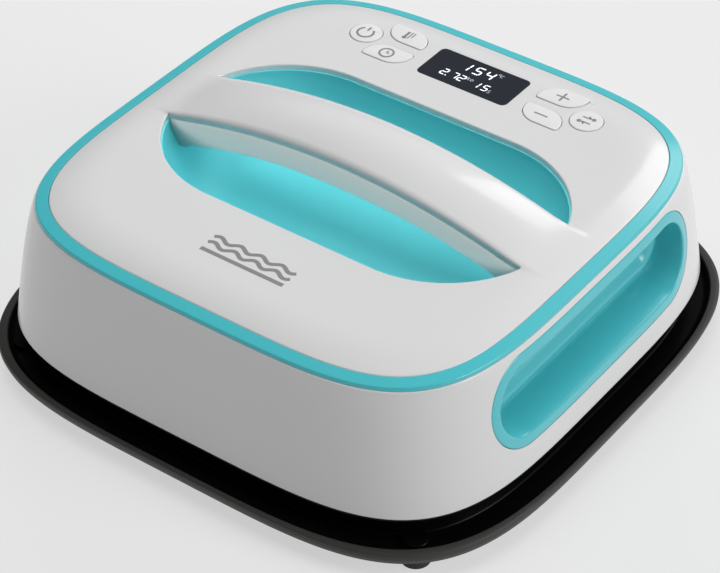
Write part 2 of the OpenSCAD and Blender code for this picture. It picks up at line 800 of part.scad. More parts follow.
module insulation_pad() {
    color("#e9e4d6") difference() {
        slab(shield_side, 46, shield_z - 0.2 - pad_z, pad_z);
        at_corners(plate_post, pad_z) bore(4.6, 12);
        for (sx = [-1, 1]) translate([sx * terminal[0], terminal[1], pad_z]) bore(4, 12);
    }
}

module heat_shield() {
    color("#b9bcc0") difference() {
        slab(shield_side, 46, shield_t, shield_z);
        at_corners(plate_post, shield_z) bore(2.2, shield_t);
        for (sx = [-1, 1]) translate([sx * terminal[0], terminal[1], shield_z]) bore(5, shield_t);
    }
}

module plate_posts() {
    low = plate_z + plate_t;
    color("#a8aaad") at_corners(plate_post, low) difference() {
        cylinder(r = 4, h = shield_z - low, $fn = fine);
        bore(2.2, shield_z - low);
    }
}

module plate_screws() {
    top = shield_z + shield_t;
    color("silver") at_corners(plate_post, 0) {
        translate([0, 0, plate_z + plate_t - 3.6])
            cylinder(r = 2, h = top - plate_z - plate_t + 3.6, $fn = fine);
        translate([0, 0, top]) cylinder(r = 3.6, h = 2.4, $fn = 6);
    }
}

module load_cells() {
    len = 40;
    w = 14;
    h = 6;
    color("#c4c7cb") for (sx = [-1, 1], sy = [-1, 1])
        translate([sx * cell_at[0], sy * cell_at[1], cell_z]) mirror([sx < 0 ? 1 : 0, 0, 0])
            difference() {
                union() {
                    translate([-len / 2, -w / 2, 0.9]) cube([len, w, h]);
                    translate([-len / 2, -w / 2, 0]) cube([11, w, 1.5]);
                    translate([len / 2 - 11, -w / 2, 0.9 + h - eps])
                        cube([11, w, chassis_z - cell_z - 0.9 - h + eps]);
                }
                for (dx = [-4, 4]) translate([dx, w / 2, 0.9 + h / 2]) rotate([90, 0, 0])
                    bore(2.1, w);
                translate([-4, -w / 2 - 1, 0.9 + h / 2 - 0.6]) cube([8, w + 2, 1.2]);
            }
}

module thermistor() {
    low = plate_z + plate_t;
    color("#d8d2c0") {
        translate([-6, -4, low]) cube([12, 8, 3]);
        translate([0, -2, low + 3]) cylinder(r = 1.4, h = 2.4, $fn = fine);
    }
}

module thermal_fuse() {
    color("#b0b3b7") translate([20, -16, plate_z + plate_t + 2.1]) rotate([0, 90, 0])
        cylinder(r = 2, h = 14, $fn = fine);
}

// ---------- mains inlet and wiring ----------

module inlet_housing() {
    depth = inlet_body[2];
    color("#151515") difference() {
        union() {
            translate([-inlet_w / 2, inlet_face, inlet_z - inlet_h / 2])
                cube([inlet_w, inlet_t, inlet_h]);
            translate([-inlet_body[0] / 2, inlet_face - depth, inlet_z - inlet_body[1] / 2])
                cube([inlet_body[0], depth + eps, inlet_body[1]]);
        }
        translate([-cavity[0] / 2, inlet_face + inlet_t - cavity[2], inlet_z - cavity[1] / 2])
            cube([cavity[0], cavity[2] + 1, cavity[1]]);
        for (sx = [-1, 1]) translate([sx * inlet_screw_x, inlet_face + inlet_t, inlet_z])
            rotate([90, 0, 0]) bore(screw_r + 0.2, inlet_t);
        for (p = [[-7, -2], [7, -2], [0, 2]])
            translate([p[0] - 1.05, inlet_face - depth - 1, inlet_z + p[1] - 2.05])
                cube([2.1, depth, 4.1]);
    }
}

module inlet_pins() {
    color("#c9b36a") for (p = [[-7, -2], [7, -2], [0, 2]])
        translate([p[0] - 1, inlet_face - inlet_body[2] - 3, inlet_z + p[1] - 2])
            cube([2, inlet_body[2] + inlet_t - 1, 4]);
}

module inlet_screws() {
    color("silver") for (sx = [-1, 1])
        translate([sx * inlet_screw_x, inlet_face + inlet_t, inlet_z]) rotate([90, 0, 0])
            screw(7, 2.6, 1.4);
}

module mains_leads() {
    back = inlet_face - inlet_body[2] - 3;
    deck = power_board_z + board_t;
    color("#7a3b2a") for (p = [[-7, -2], [7, -2], [0, 2]])
        lead([[p[0] * 2, back - 1.4, inlet_z + p[1] - 4], [p[0] * 2, back - 4.6, inlet_z + p[1] - 4],
            [p[0] * 2, back - 4.6, deck]], 1.3);
}

module element_leads() {
    color("#d8d3c6") for (sx = [-1, 1])
        translate([sx * terminal[0], terminal[1], chassis_z - 3])
            cylinder(r = 2.2, h = power_board_z - chassis_z + 3, $fn = fine);
}

module display_ribbon() {
    low = power_board_z + board_t;
    color("#d6d6d6") translate([10, 73, low]) cube([16, 0.8, control_z - low]);
}

base_tray();
insulating_mat();
rim_gasket();
foot_front_left();
foot_front_right();
foot_rear_left();
foot_rear_right();
foot_screws();
housing_skirt();
bottom_bezel();
bezel_screws();
trim_ring();
top_cover();
handle_grip();
well_liner();
side_grip_left();
side_grip_right();
display_window();
display_module();
control_board();
board_screws();
status_light();
buzzer();
tact_switches();
power_key();
mode_key();
temperature_key();
timer_key();
plus_key();
minus_key();
power_plunger();
mode_plunger();
temperature_plunger();
timer_plunger();
plus_plunger();
minus_plunger();
chassis_front();
chassis_rear();
cover_screws();
skirt_screws();
power_board();
relay();
transformer();
smoothing_capacitor();
heat_plate();
heating_element();
insulation_pad();
heat_shield();
plate_posts();
plate_screws();
load_cells();
thermistor();
thermal_fuse();
inlet_housing();
inlet_pins();
inlet_screws();
mains_leads();
element_leads();
display_ribbon();
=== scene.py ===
"""Looks of the square heat press: smooth shells, keys, display and materials on the CAD frame."""
import json
import math

import bpy
import numpy as np
from mathutils import Matrix, Vector
from mathutils.geometry import delaunay_2d_cdt
from mathutils.kdtree import KDTree


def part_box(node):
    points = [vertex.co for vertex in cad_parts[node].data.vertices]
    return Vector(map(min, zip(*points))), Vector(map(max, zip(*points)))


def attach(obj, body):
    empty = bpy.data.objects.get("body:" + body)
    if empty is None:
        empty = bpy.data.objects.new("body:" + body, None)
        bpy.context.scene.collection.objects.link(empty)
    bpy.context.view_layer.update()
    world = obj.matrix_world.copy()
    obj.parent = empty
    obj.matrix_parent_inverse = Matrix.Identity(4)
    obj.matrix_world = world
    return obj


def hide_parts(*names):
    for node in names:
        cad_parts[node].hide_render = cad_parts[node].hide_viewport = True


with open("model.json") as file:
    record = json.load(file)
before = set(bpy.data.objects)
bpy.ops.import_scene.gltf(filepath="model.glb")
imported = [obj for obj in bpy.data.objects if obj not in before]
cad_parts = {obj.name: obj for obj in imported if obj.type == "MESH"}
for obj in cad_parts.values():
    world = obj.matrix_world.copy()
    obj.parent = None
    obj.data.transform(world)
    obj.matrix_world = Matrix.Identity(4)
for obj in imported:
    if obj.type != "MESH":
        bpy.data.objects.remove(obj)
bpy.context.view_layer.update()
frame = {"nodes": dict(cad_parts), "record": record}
NODES = frame["nodes"]
MM = 0.001


def box_mm(node):
    """Lowest and highest corner of a CAD node, in millimetres."""
    low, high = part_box(node)
    return np.array(low) / MM, np.array(high) / MM


def middle(low, high):
    """Plan position of the middle of a box."""
    return (low + high)[:2] / 2


# ---- sizes taken from the frame
RING_LOW, RING_HIGH = box_mm("trim_ring")
SKIRT_LOW, SKIRT_HIGH = box_mm("housing_skirt")
LINER_LOW, LINER_HIGH = box_mm("well_liner")
GRIP_LOW, GRIP_HIGH = box_mm("side_grip_right")
WINDOW_LOW, WINDOW_HIGH = box_mm("display_window")
TRAY_LOW, TRAY_HIGH = box_mm("base_tray")
BEZEL_LOW, BEZEL_HIGH = box_mm("bottom_bezel")
GASKET_LOW, GASKET_HIGH = box_mm("rim_gasket")
INLET_LOW, INLET_HIGH = box_mm("inlet_housing")
LIGHT_LOW, LIGHT_HIGH = box_mm("status_light")
MAT_LOW = box_mm("insulating_mat")[0]

TRIM_HALF = RING_HIGH[0]
TRIM_TOP = RING_HIGH[2]
TRIM_Z = TRIM_TOP - 2.75
COVER_HALF = box_mm("top_cover")[1][0]
PANEL_Z = WINDOW_HIGH[2] - 0.05
SKIRT_HALF = SKIRT_HIGH[0]
SKIRT_BOTTOM = SKIRT_LOW[2]
SKIRT_TOP = SKIRT_HIGH[2]
RIM_HALF = TRAY_HIGH[0]
FEET = ("foot_front_left", "foot_front_right", "foot_rear_left", "foot_rear_right")
FOOT_TOP = box_mm(FEET[0])[1][2]
RIM_TOP = FOOT_TOP + 6.2
RIB_HALF = GASKET_HIGH[0] + 0.7
LINER_FLANGE = 5
WELL_R = LINER_HIGH[1] - LINER_FLANGE
WELL_RUN = LINER_HIGH[0] - LINER_HIGH[1]
LINER_FLOOR = LINER_LOW[2] + 2
GRIP_Z = (GRIP_LOW[2] + GRIP_HIGH[2]) / 2
GRIP_HALF_H = (GRIP_HIGH[2] - GRIP_LOW[2]) / 2
GRIP_HALF_L = GRIP_HIGH[1]
GRIP_FLOOR = GRIP_LOW[0] + 2.5

# superellipse exponents: trim ring, cover, the skirt's gain downwards, bezel, rib and channel
SQUARE_N = 4.15
COVER_N = 4.38
SKIRT_N_GAIN = 0.05
BEZEL_N = 4.4
RIB_N = 4.2
CHANNEL_N = 3.9
# curve of the skirt's outward flare, and width and curve of the cover's rolled shoulder
FLARE_POWER = 0.68
SHOULDER_W = 22.0
SHOULDER_POWER = 2.4
# handle: half width, height of its edge over the trim, arch, crown, and depth at its roots
HANDLE_HALF_W = 20.0
HANDLE_EDGE = 5.3
HANDLE_ARCH = 17.3
HANDLE_CROWN = 3.0
HANDLE_ROOT = 16.0

# walls, keys, corner radii and the mains inlet's body
SHELL_WALL = 3.0
KEYS = ("power", "mode", "temperature", "timer", "plus", "minus")
KEY_INSET = 0.6
WINDOW_CORNER = 3.0
INLET_CORNER = 2.5
INLET_BODY = (28.4, 20.4)
# a hairline between fitted parts
GAP = 0.1
# smooth surfaces split at edges sharper than this
CREASE = math.radians(35)
# points round the large rings
RING_POINTS = 288
FINE_POINTS = 360
# noise values that are spread over a material's colours and roughness
NOISE_RANGE = (0.1, 0.9)


# ---- curves
def square_of(x, y, n=COVER_N):
    """Superellipse measure of a point: the half width of the outline that passes through it."""
    return (np.abs(x) ** n + np.abs(y) ** n) ** (1 / n)


def square_ring(a, n, z, count=RING_POINTS):
    """Points of a superellipse, anticlockwise from +X, at height z."""
    t = np.linspace(0, 2 * np.pi, count, endpoint=False)
    r = a / (np.abs(np.cos(t)) ** n + np.abs(np.sin(t)) ** n) ** (1 / n)
    return np.column_stack([r * np.cos(t), r * np.sin(t), np.full(count, z)])


def stadium_ring(r, z, count=RING_POINTS):
    """Points of the well's outline with end radius r, at height z."""
    t = np.linspace(0, 2 * np.pi, count, endpoint=False)
    c, s = np.abs(np.cos(t)), np.abs(np.sin(t))
    side = r / np.maximum(s, 1e-9)
    end = WELL_RUN * c + np.sqrt(np.maximum(r * r - (WELL_RUN * s) ** 2, 0))
    q = np.where(r * c <= WELL_RUN * s, side, end)
    return np.column_stack([q * np.cos(t), q * np.sin(t), np.full(count, z)])


def fillet_path(points, steps=6):
    """A path through (x, z, radius) corners, each rounded with a curve of about that radius."""
    path = []
    count = len(points)
    for i, (x, z, r) in enumerate(points):
        p = np.array([x, z], float)
        if r <= 0 or i in (0, count - 1):
            path.append(p)
            continue
        a = np.array(points[i - 1][:2], float) - p
        b = np.array(points[i + 1][:2], float) - p
        la, lb = np.linalg.norm(a), np.linalg.norm(b)
        a, b = a / la, b / lb
        half = math.acos(np.clip(a @ b, -1, 1)) / 2
        cut = min(r / math.tan(half), la * 0.49, lb * 0.49)
        start, end = p + a * cut, p + b * cut
        for k in range(steps + 1):
            u = k / steps
            path.append((1 - u) ** 2 * start + 2 * u * (1 - u) * p + u ** 2 * end)
    return np.array(path)


def smooth_path(points, steps=6):
    """Catmull-Rom curve through the given points."""
    pts = np.array(points, float)
    ends = np.vstack([2 * pts[0] - pts[1], pts, 2 * pts[-1] - pts[-2]])
    path = []
    for i in range(1, len(ends) - 2):
        p0, p1, p2, p3 = ends[i - 1:i + 3]
        for k in range(steps):
            u = k / steps
            path.append(0.5 * (2 * p1 + (p2 - p0) * u + (2 * p0 - 5 * p1 + 4 * p2 - p3) * u ** 2
                               + (3 * p1 - p0 - 3 * p2 + p3) * u ** 3))
    path.append(pts[-1])
    return np.array(path)


def rounded_outline(w, d, radii, steps=8):
    """Rectangle with its own radius at each corner, anticlockwise from rear right."""
    points = []
    for k, r in enumerate(radii):
        cx = (1 if k in (0, 3) else -1) * (w / 2 - r)
        cy = (1 if k < 2 else -1) * (d / 2 - r)
        for j in range(steps + 1):
            t = math.radians(90 * k + 90 * j / steps)
            points.append([cx + r * math.cos(t), cy + r * math.sin(t)])
    return np.array(points)


def circle_outline(r, steps=48):
    t = np.linspace(0, 2 * np.pi, steps, endpoint=False)
    return np.column_stack([r * np.cos(t), r * np.sin(t)])


# ---- the housing's surfaces
def skirt_drop(z):
    return np.maximum(TRIM_Z - z, 0) / (TRIM_Z - SKIRT_BOTTOM)


def skirt_half(z):
    return TRIM_HALF + (SKIRT_HALF - TRIM_HALF) * skirt_drop(z) ** FLARE_POWER


def skirt_n(z):
    return SQUARE_N + SKIRT_N_GAIN * skirt_drop(z)


def skirt_x(y, z):
    """Distance of the skirt's outer face from the middle plane."""
    a, n = skirt_half(z), skirt_n(z)
    return a * (1 - np.minimum(np.abs(y) / a, 1) ** n) ** (1 / n)


def handle_reach(x):
    return np.abs(x) / (WELL_RUN + WELL_R)


def handle_edge(x):
    return TRIM_Z + HANDLE_EDGE + HANDLE_ARCH * (1 - handle_reach(x) ** 2)


def handle_low(x):
    return TRIM_Z + 2 - (HANDLE_ROOT + 2) * handle_reach(x) ** 2.2


def cover_height(x, y):
    """Height of the top cover, with the handle running into it at both ends."""
    inside = np.clip((COVER_HALF - square_of(x, y)) / SHOULDER_W, 0, 1)
    edge = TRIM_Z + 2.7
    flat = edge + (PANEL_Z - edge) * (1 - (1 - inside) ** SHOULDER_POWER)
    v = y / (HANDLE_HALF_W - 0.8)
    crown = 0.4 + HANDLE_CROWN * np.maximum(1 - handle_reach(x) ** 2, 0)
    spill = np.maximum(np.abs(y) - HANDLE_HALF_W + 2, 0)
    bridge = handle_edge(x) + crown * (1 - v * v) - 0.22 * spill ** 2
    blend = 3.0
    h = np.maximum(blend - np.abs(flat - bridge), 0) / blend
    return np.maximum(flat, bridge) + h * h * blend / 4


# ---- materials
def noise(nodes, links, scale, detail=2.0, stretch=None):
    """3-D noise in the object's own coordinates."""
    coords = nodes.new("ShaderNodeTexCoord")
    texture = nodes.new("ShaderNodeTexNoise")
    texture.inputs["Scale"].default_value = scale
    texture.inputs["Detail"].default_value = detail
    if stretch:
        mapping = nodes.new("ShaderNodeMapping")
        mapping.inputs["Scale"].default_value = stretch
        links.new(coords.outputs["Object"], mapping.inputs["Vector"])
        links.new(mapping.outputs["Vector"], texture.inputs["Vector"])
    else:
        links.new(coords.outputs["Object"], texture.inputs["Vector"])
    return texture


def spread(nodes, links, source, low, high):
    """Map a texture's value onto low..high."""
    node = nodes.new("ShaderNodeMapRange")
    node.inputs["From Min"].default_value = NOISE_RANGE[0]
    node.inputs["From Max"].default_value = NOISE_RANGE[1]
    node.inputs["To Min"].default_value = low
    node.inputs["To Max"].default_value = high
    links.new(source, node.inputs["Value"])
    return node.outputs["Result"]


MATERIALS = {}


def surface(name, color, rough, metallic=0.0, shade=0.03, rough_spread=0.05, cloud=18.0,
            grain=900.0, grain_depth=0.02, coat=0.0, coat_rough=0.05, sheen=0.0, stretch=None,
            specular=0.5, emission=0.0):
    """Principled material with clouded colour and roughness, and a fine moulded or cast grain."""
    mat = bpy.data.materials.new(name)
    mat.use_nodes = True
    nodes, links = mat.node_tree.nodes, mat.node_tree.links
    bsdf = nodes["Principled BSDF"]
    clouds = noise(nodes, links, cloud, 3.0)
    fine = noise(nodes, links, grain, 2.0, stretch)
    ramp = nodes.new("ShaderNodeValToRGB")
    ramp.color_ramp.interpolation = "B_SPLINE"
    for k, gain in ((0, 1 - shade), (1, 1 + shade)):
        ramp.color_ramp.elements[k].color = [min(1.0, c * gain) for c in color] + [1.0]
        ramp.color_ramp.elements[k].position = NOISE_RANGE[k]
    links.new(clouds.outputs["Fac"], ramp.inputs["Fac"])
    links.new(ramp.outputs["Color"], bsdf.inputs["Base Color"])
    links.new(spread(nodes, links, clouds.outputs["Fac"], max(0.02, rough - rough_spread),
                     rough + rough_spread), bsdf.inputs["Roughness"])
    bump = nodes.new("ShaderNodeBump")
    bump.inputs["Strength"].default_value = 1.0
    bump.inputs["Distance"].default_value = grain_depth * MM
    links.new(fine.outputs["Fac"], bump.inputs["Height"])
    links.new(bump.outputs["Normal"], bsdf.inputs["Normal"])
    bsdf.inputs["Metallic"].default_value = metallic
    bsdf.inputs["Specular IOR Level"].default_value = specular
    bsdf.inputs["Coat Weight"].default_value = coat
    bsdf.inputs["Coat Roughness"].default_value = coat_rough
    bsdf.inputs["Sheen Weight"].default_value = sheen
    if emission:
        bsdf.inputs["Emission Color"].default_value = (*color, 1.0)
        bsdf.inputs["Emission Strength"].default_value = emission
    MATERIALS[name] = mat
    return mat


surface("white_gloss", (0.72, 0.72, 0.725), 0.22, shade=0.01, grain_depth=0.004, coat=0.3,
        coat_rough=0.08)
surface("key_white", (0.80, 0.80, 0.80), 0.28, shade=0.01, grain_depth=0.004, coat=0.4,
        coat_rough=0.1)
# grip_grey: the handle underside is white plastic; this darker grey is painted shade for the shade
# under the handle
surface("grip_grey", (0.43, 0.41, 0.40), 0.5, shade=0.015, grain_depth=0.01)
surface("teal_plastic", (0.068, 0.53, 0.59), 0.38, shade=0.02, grain_depth=0.006, coat=0.6,
        coat_rough=0.14)
# teal_liner: teal plastic, with extra red and paleness in its colour as painted sheen on the well
# floor
surface("teal_liner", (0.13, 0.62, 0.67), 0.5, shade=0.02, grain_depth=0.006, specular=0.35)
surface("black_plastic", (0.0025, 0.0025, 0.0028), 0.3, shade=0.1, grain_depth=0.004,
        specular=0.12)
surface("lip_rubber", (0.040, 0.040, 0.038), 0.55, shade=0.08, grain=1500, grain_depth=0.03,
        specular=0.4)
surface("dark_plastic", (0.010, 0.010, 0.010), 0.6, shade=0.06, grain_depth=0.02, specular=0.2)
surface("black_rubber", (0.022, 0.022, 0.021), 0.7, shade=0.1, grain=1200, grain_depth=0.04)
surface("mat_silicone", (0.06, 0.06, 0.062), 0.75, shade=0.12, cloud=40, grain=700,
        grain_depth=0.12, sheen=0.2)
surface("display_lens", (0.026, 0.029, 0.039), 0.12, shade=0.05, grain_depth=0.001, specular=0.35)
surface("display_panel", (0.03, 0.035, 0.045), 0.5)
surface("circuit_board", (0.02, 0.14, 0.06), 0.4, shade=0.15, cloud=120)
surface("chassis_grey", (0.30, 0.31, 0.32), 0.55, grain_depth=0.05)
surface("zinc_steel", (0.62, 0.62, 0.60), 0.32, metallic=1.0, shade=0.1, rough_spread=0.1,
        cloud=60)
surface("cell_aluminium", (0.72, 0.73, 0.74), 0.3, metallic=1.0, stretch=(1, 1, 12))
surface("plate_coated", (0.035, 0.035, 0.037), 0.38, metallic=0.3, shade=0.15, cloud=30,
        grain=1600, grain_depth=0.03, rough_spread=0.08)
surface("element_steel", (0.30, 0.27, 0.24), 0.45, metallic=1.0, shade=0.25, cloud=50,
        rough_spread=0.12)
surface("insulation_wool", (0.74, 0.70, 0.60), 0.9, shade=0.1, cloud=60, grain=400,
        grain_depth=0.4, sheen=0.3)
surface("light_pipe", (0.75, 0.78, 0.74), 0.35, shade=0.02)
surface("component_black", (0.018, 0.018, 0.020), 0.45, grain_depth=0.03)
surface("relay_blue", (0.03, 0.10, 0.36), 0.35, shade=0.04)
surface("transformer_yellow", (0.60, 0.38, 0.05), 0.45, shade=0.1, cloud=90)
surface("pin_brass", (0.78, 0.62, 0.32), 0.25, metallic=1.0, shade=0.08)
surface("ceramic", (0.72, 0.68, 0.58), 0.6)
surface("lead_red", (0.30, 0.05, 0.03), 0.5)
surface("lead_white", (0.70, 0.66, 0.58), 0.8, grain=1800, grain_depth=0.1, shade=0.1)
surface("icon_grey", (0.25, 0.25, 0.25), 0.5, shade=0.04)
surface("unit_grey", (0.42, 0.44, 0.50), 0.5, shade=0.04, emission=0.25)
surface("digit_white", (0.80, 0.85, 0.90), 0.4, shade=0.02, emission=0.9)

for item in frame["record"]["subparts"]:
    node = NODES[item["node"]]
    node.data.materials.clear()
    node.data.materials.append(MATERIALS[item["material_slot"]])


# ---- meshes
def mesh_piece(name, verts, faces, material, body, replaces=(), weighted=True):
    """A mesh from millimetre points, smooth but for sharp edges; its slot holds the named material."""
    mesh = bpy.data.meshes.new(name)
    mesh.from_pydata([tuple(v) for v in np.asarray(verts) * MM], [], faces)
    mesh.validate()
    piece = bpy.data.objects.new(name, mesh)
    bpy.context.scene.collection.objects.link(piece)
    mesh.materials.append(MATERIALS[material])
    mesh.shade_smooth()
    mesh.set_sharp_from_angle(angle=CREASE)
    if weighted:
        modifier = piece.modifiers.new("even_normals", "WEIGHTED_NORMAL")
        modifier.keep_sharp = True
    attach(piece, body)
    for node_name in replaces:
        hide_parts(node_name)
    return piece


def skin_faces(ring_count, m, loop):
    """Quads between successive rings of m points, which run anticlockwise and outwards-down."""
    faces = []
    for k in range(ring_count if loop else ring_count - 1):
        a, b = k * m, (k + 1) % ring_count * m
        faces += [(a + i, b + i, b + (i + 1) % m, a + (i + 1) % m) for i in range(m)]
    return faces


def skin(name, rings, material, body, replaces=(), loop=True):
    """A closed skin over rings; an open stack of rings is capped with a fan at each end."""
    m = len(rings[0])
    verts = np.vstack(rings)
    faces = skin_faces(len(rings), m, loop)
    if not loop:
        centres = [rings[0].mean(0), rings[-1].mean(0)]
        verts = np.vstack([verts, centres])
        top, bottom = len(verts) - 2, len(verts) - 1
        last = (len(rings) - 1) * m
        faces += [(i, (i + 1) % m, top) for i in range(m)]
        faces += [(last + (i + 1) % m, last + i, bottom) for i in range(m)]
    return mesh_piece(name, verts, faces, material, body, replaces)


def square_sweep(name, profile, exponent, material, body, replaces):
    """Sweep a (half width, height) profile round a superellipse; exponent(a, z) gives its n."""
    skin(name, [square_ring(a, exponent(a, z), z) for a, z in profile], material, body, replaces)


def offset_loop(loop, distance):
    """Move an anticlockwise loop outwards by distance, along each point's normal."""
    ahead, behind = np.roll(loop, -1, 0) - loop, loop - np.roll(loop, 1, 0)
    ahead /= np.linalg.norm(ahead, axis=1)[:, None]
    behind /= np.linalg.norm(behind, axis=1)[:, None]
    tangent = ahead + behind
    tangent /= np.linalg.norm(tangent, axis=1)[:, None]
    normal = np.column_stack([tangent[:, 1], -tangent[:, 0]])
    return loop + normal * distance


def domed_prism(name, outline, centre, low, top, dome, radius, material, body, replaces):
    """A cap with an outline, a rounded top edge and a slightly domed top."""
    rows = [(0.0, low), (0.0, top - radius)]
    for k in range(1, 7):
        a = math.pi / 2 * k / 6
        rows.append((radius * (1 - math.cos(a)), top - radius + radius * math.sin(a)))
    centre3 = np.array([*centre, 0])
    rings = []
    for inset, z in reversed(rows):
        ring = offset_loop(outline, -inset) if inset else outline
        rings.append(np.column_stack([ring, np.full(len(ring), z)]) + centre3)
    inner = offset_loop(outline, -radius)
    for k in (0.8, 0.55, 0.3, 0.08):
        lift = dome * (1 - k * k)
        ring = np.column_stack([inner * k, np.full(len(inner), top + lift)]) + centre3
        rings.insert(0, ring)
    skin(name, rings, material, body, replaces, loop=False)


# ---- top cover with its handle
def key_outline(name, grow=0.0):
    """Outline of a key about its own centre, and that centre."""
    low, high = box_mm(name + "_key")
    centre = middle(low, high)
    w, d = (high - low)[:2] - 2 * KEY_INSET
    if name in ("power", "mode"):
        return circle_outline(w / 2 + grow), centre
    small, large = 1.8 + grow, 11 + grow
    radii = [large, small, large, small]
    if name in ("timer", "plus"):
        radii = [small, large, small, large]
    return rounded_outline(w + 2 * grow, d + 2 * grow, radii), centre


def well_half_outline(side):
    """Front (-1) or rear (+1) half of the well opening, cut off by the handle's edge."""
    y_edge = HANDLE_HALF_W
    x_edge = WELL_RUN + math.sqrt(WELL_R ** 2 - y_edge ** 2)
    tip = math.asin(y_edge / WELL_R)
    points = [[WELL_RUN + WELL_R * math.cos(t), WELL_R * math.sin(t)]
              for t in np.linspace(tip, math.pi / 2, 48)]
    points += [[x, WELL_R] for x in np.linspace(WELL_RUN, -WELL_RUN, 30)[1:-1]]
    points += [[-WELL_RUN + WELL_R * math.cos(t), WELL_R * math.sin(t)]
               for t in np.linspace(math.pi / 2, math.pi - tip, 48)]
    points += [[x, y_edge] for x in np.linspace(-x_edge, x_edge, 70)[1:-1]]
    loop = np.array(points)
    if side < 0:
        loop = loop[::-1] * [1, -1]
    rounded = []
    count = len(loop)
    for i in range(count):
        a, p, b = loop[i - 1], loop[i], loop[(i + 1) % count]
        u, v = (a - p) / np.linalg.norm(a - p), (b - p) / np.linalg.norm(b - p)
        if u @ v < -0.7:
            rounded.append(p)
            continue
        r = 0.8
        for k in range(7):
            s = k / 6
            rounded.append((1 - s) ** 2 * (p + u * r) + 2 * s * (1 - s) * p + s * s * (p + v * r))
    return np.array(rounded)


def cover_mesh():
    """The cover's top as one triangulated sheet with rolled edges, closed below by a copy."""
    roll_rows = (0.0, 0.06, 0.16, 0.3, 0.5, 0.75, 1.05)
    small_rows = (0.0, 0.05, 0.12, 0.22, 0.35, 0.6)
    rim_count = 420
    rim_roll, well_roll, key_roll = 0.6, 0.75, 0.3
    key_gap = 0.3
    # (loop, sign that points into the cover, edge radius, rows of points inwards from the edge)
    edges = [(square_ring(COVER_HALF, COVER_N, 0, rim_count)[:, :2], -1, rim_roll, roll_rows),
             (well_half_outline(-1), 1, well_roll, roll_rows),
             (well_half_outline(1), 1, well_roll, roll_rows)]
    for key in KEYS:
        outline, centre = key_outline(key, key_gap)
        edges.append((outline + centre, 1, key_roll, small_rows))
    w, d = (WINDOW_HIGH - WINDOW_LOW)[:2] + 2 * GAP
    window = rounded_outline(w, d, [WINDOW_CORNER + GAP] * 4) + middle(WINDOW_LOW, WINDOW_HIGH)
    edges.append((window, 1, key_roll, small_rows))
    edges.append((circle_outline(0.95, 24) + middle(LIGHT_LOW, LIGHT_HIGH), 1, 0.15,
                  (0.0, 0.05, 0.15, 0.4)))
    points, drops, tilts, constraints, rims = [], [], [], [], []
    for loop, sign, radius, rows in edges:
        for row in rows:
            ring = offset_loop(loop, sign * row)
            away = offset_loop(loop, -sign) - loop
            start = len(points)
            count = len(ring)
            lean = max(radius - row, 0) / radius
            for p, n in zip(ring, away):
                points.append(p)
                drops.append(radius - radius * math.sqrt(1 - lean * lean))
                tilts.append(n * lean)
            constraints += [(start + i, start + (i + 1) % count) for i in range(count)]
            if row == 0.0:
                rims.append((start, count, sign))
    tree = KDTree(len(points))
    for i, p in enumerate(points):
        tree.insert((p[0], p[1], 0), i)
    tree.balance()
    # a grid of near equal triangles over the rest, clear of the edges' own points
    pitch = 2.6
    row_pitch = pitch * 0.866
    clear = pitch * 0.55
    margin = 1.2
    half = COVER_HALF
    for j, y in enumerate(np.arange(-half, half, row_pitch)):
        for x in np.arange(-half, half, pitch) + (pitch / 2 if j % 2 else 0):
            if tree.find((x, y, 0))[2] > clear and square_of(x, y) < half - margin:
                points.append(np.array([x, y]))
                drops.append(0.0)
                tilts.append(np.zeros(2))
    result = delaunay_2d_cdt([Vector(p) for p in points], constraints, [], 0, 1e-5)
    faces, origin = result[2], result[3]
    verts2 = np.array([tuple(v) for v in result[0]])
    source = np.array([o[0] if o else -1 for o in origin])
    drop, tilt = np.array(drops)[source], np.array(tilts)[source]
    centroids = np.array([verts2[list(f)].mean(0) for f in faces])
    inside_outer = square_of(centroids[:, 0], centroids[:, 1]) < half - 1e-4
    in_hole = np.zeros(len(faces), bool)
    for loop in [edge[0] for edge in edges[1:]]:
        low, high = loop.min(0), loop.max(0)
        near = np.all((centroids > low) & (centroids < high), axis=1)
        for i in np.nonzero(near)[0]:
            in_hole[i] |= point_inside(centroids[i], loop)
    kept = [tuple(f) for i, f in enumerate(faces) if inside_outer[i] and not in_hole[i]]
    x, y = verts2[:, 0], verts2[:, 1]
    z = cover_height(x, y) - drop
    step = 0.05
    slope_x = (cover_height(x + step, y) - cover_height(x - step, y)) / (2 * step)
    slope_y = (cover_height(x, y + step) - cover_height(x, y - step)) / (2 * step)
    normals = np.column_stack([-slope_x, -slope_y, np.ones(len(x))])
    normals /= np.linalg.norm(normals, axis=1)[:, None]
    lean = np.linalg.norm(tilt, axis=1)[:, None]
    side = np.column_stack([tilt, np.zeros(len(x))])
    side /= np.maximum(lean, 1e-9)
    normals = normals * np.sqrt(np.maximum(1 - lean ** 2, 0)) + side * lean
    normals /= np.linalg.norm(normals, axis=1)[:, None]
    top = np.column_stack([x, y, z])
    count = len(top)
    under = np.column_stack([x, y, cover_height(x, y) - SHELL_WALL])
    used = {}
    for new, old in enumerate(source):
        used.setdefault(old, new)
    verts = np.vstack([top, under])
    faces_out = kept + [tuple(i + count for i in reversed(f)) for f in kept]
    face_kind = ["top"] * len(kept) + ["under"] * len(kept)
    for start, m, sign in rims:
        ids = [used[start + i] for i in range(m)]
        for i in range(m):
            a, b = ids[i], ids[(i + 1) % m]
            quad = (a, b, b + count, a + count)
            faces_out.append(quad if sign > 0 else quad[::-1])
            face_kind.append("wall")
    return verts, faces_out, face_kind, normals, count


def point_inside(p, loop):
    """Whether a point is inside a closed loop."""
    x, y = loop[:, 0], loop[:, 1]
    x2, y2 = np.roll(x, -1), np.roll(y, -1)
    crosses = (y > p[1]) != (y2 > p[1])
    at = x + (p[1] - y) * (x2 - x) / np.where(y2 == y, 1e-12, y2 - y)
    return bool(np.sum(crosses & (p[0] < at)) % 2)


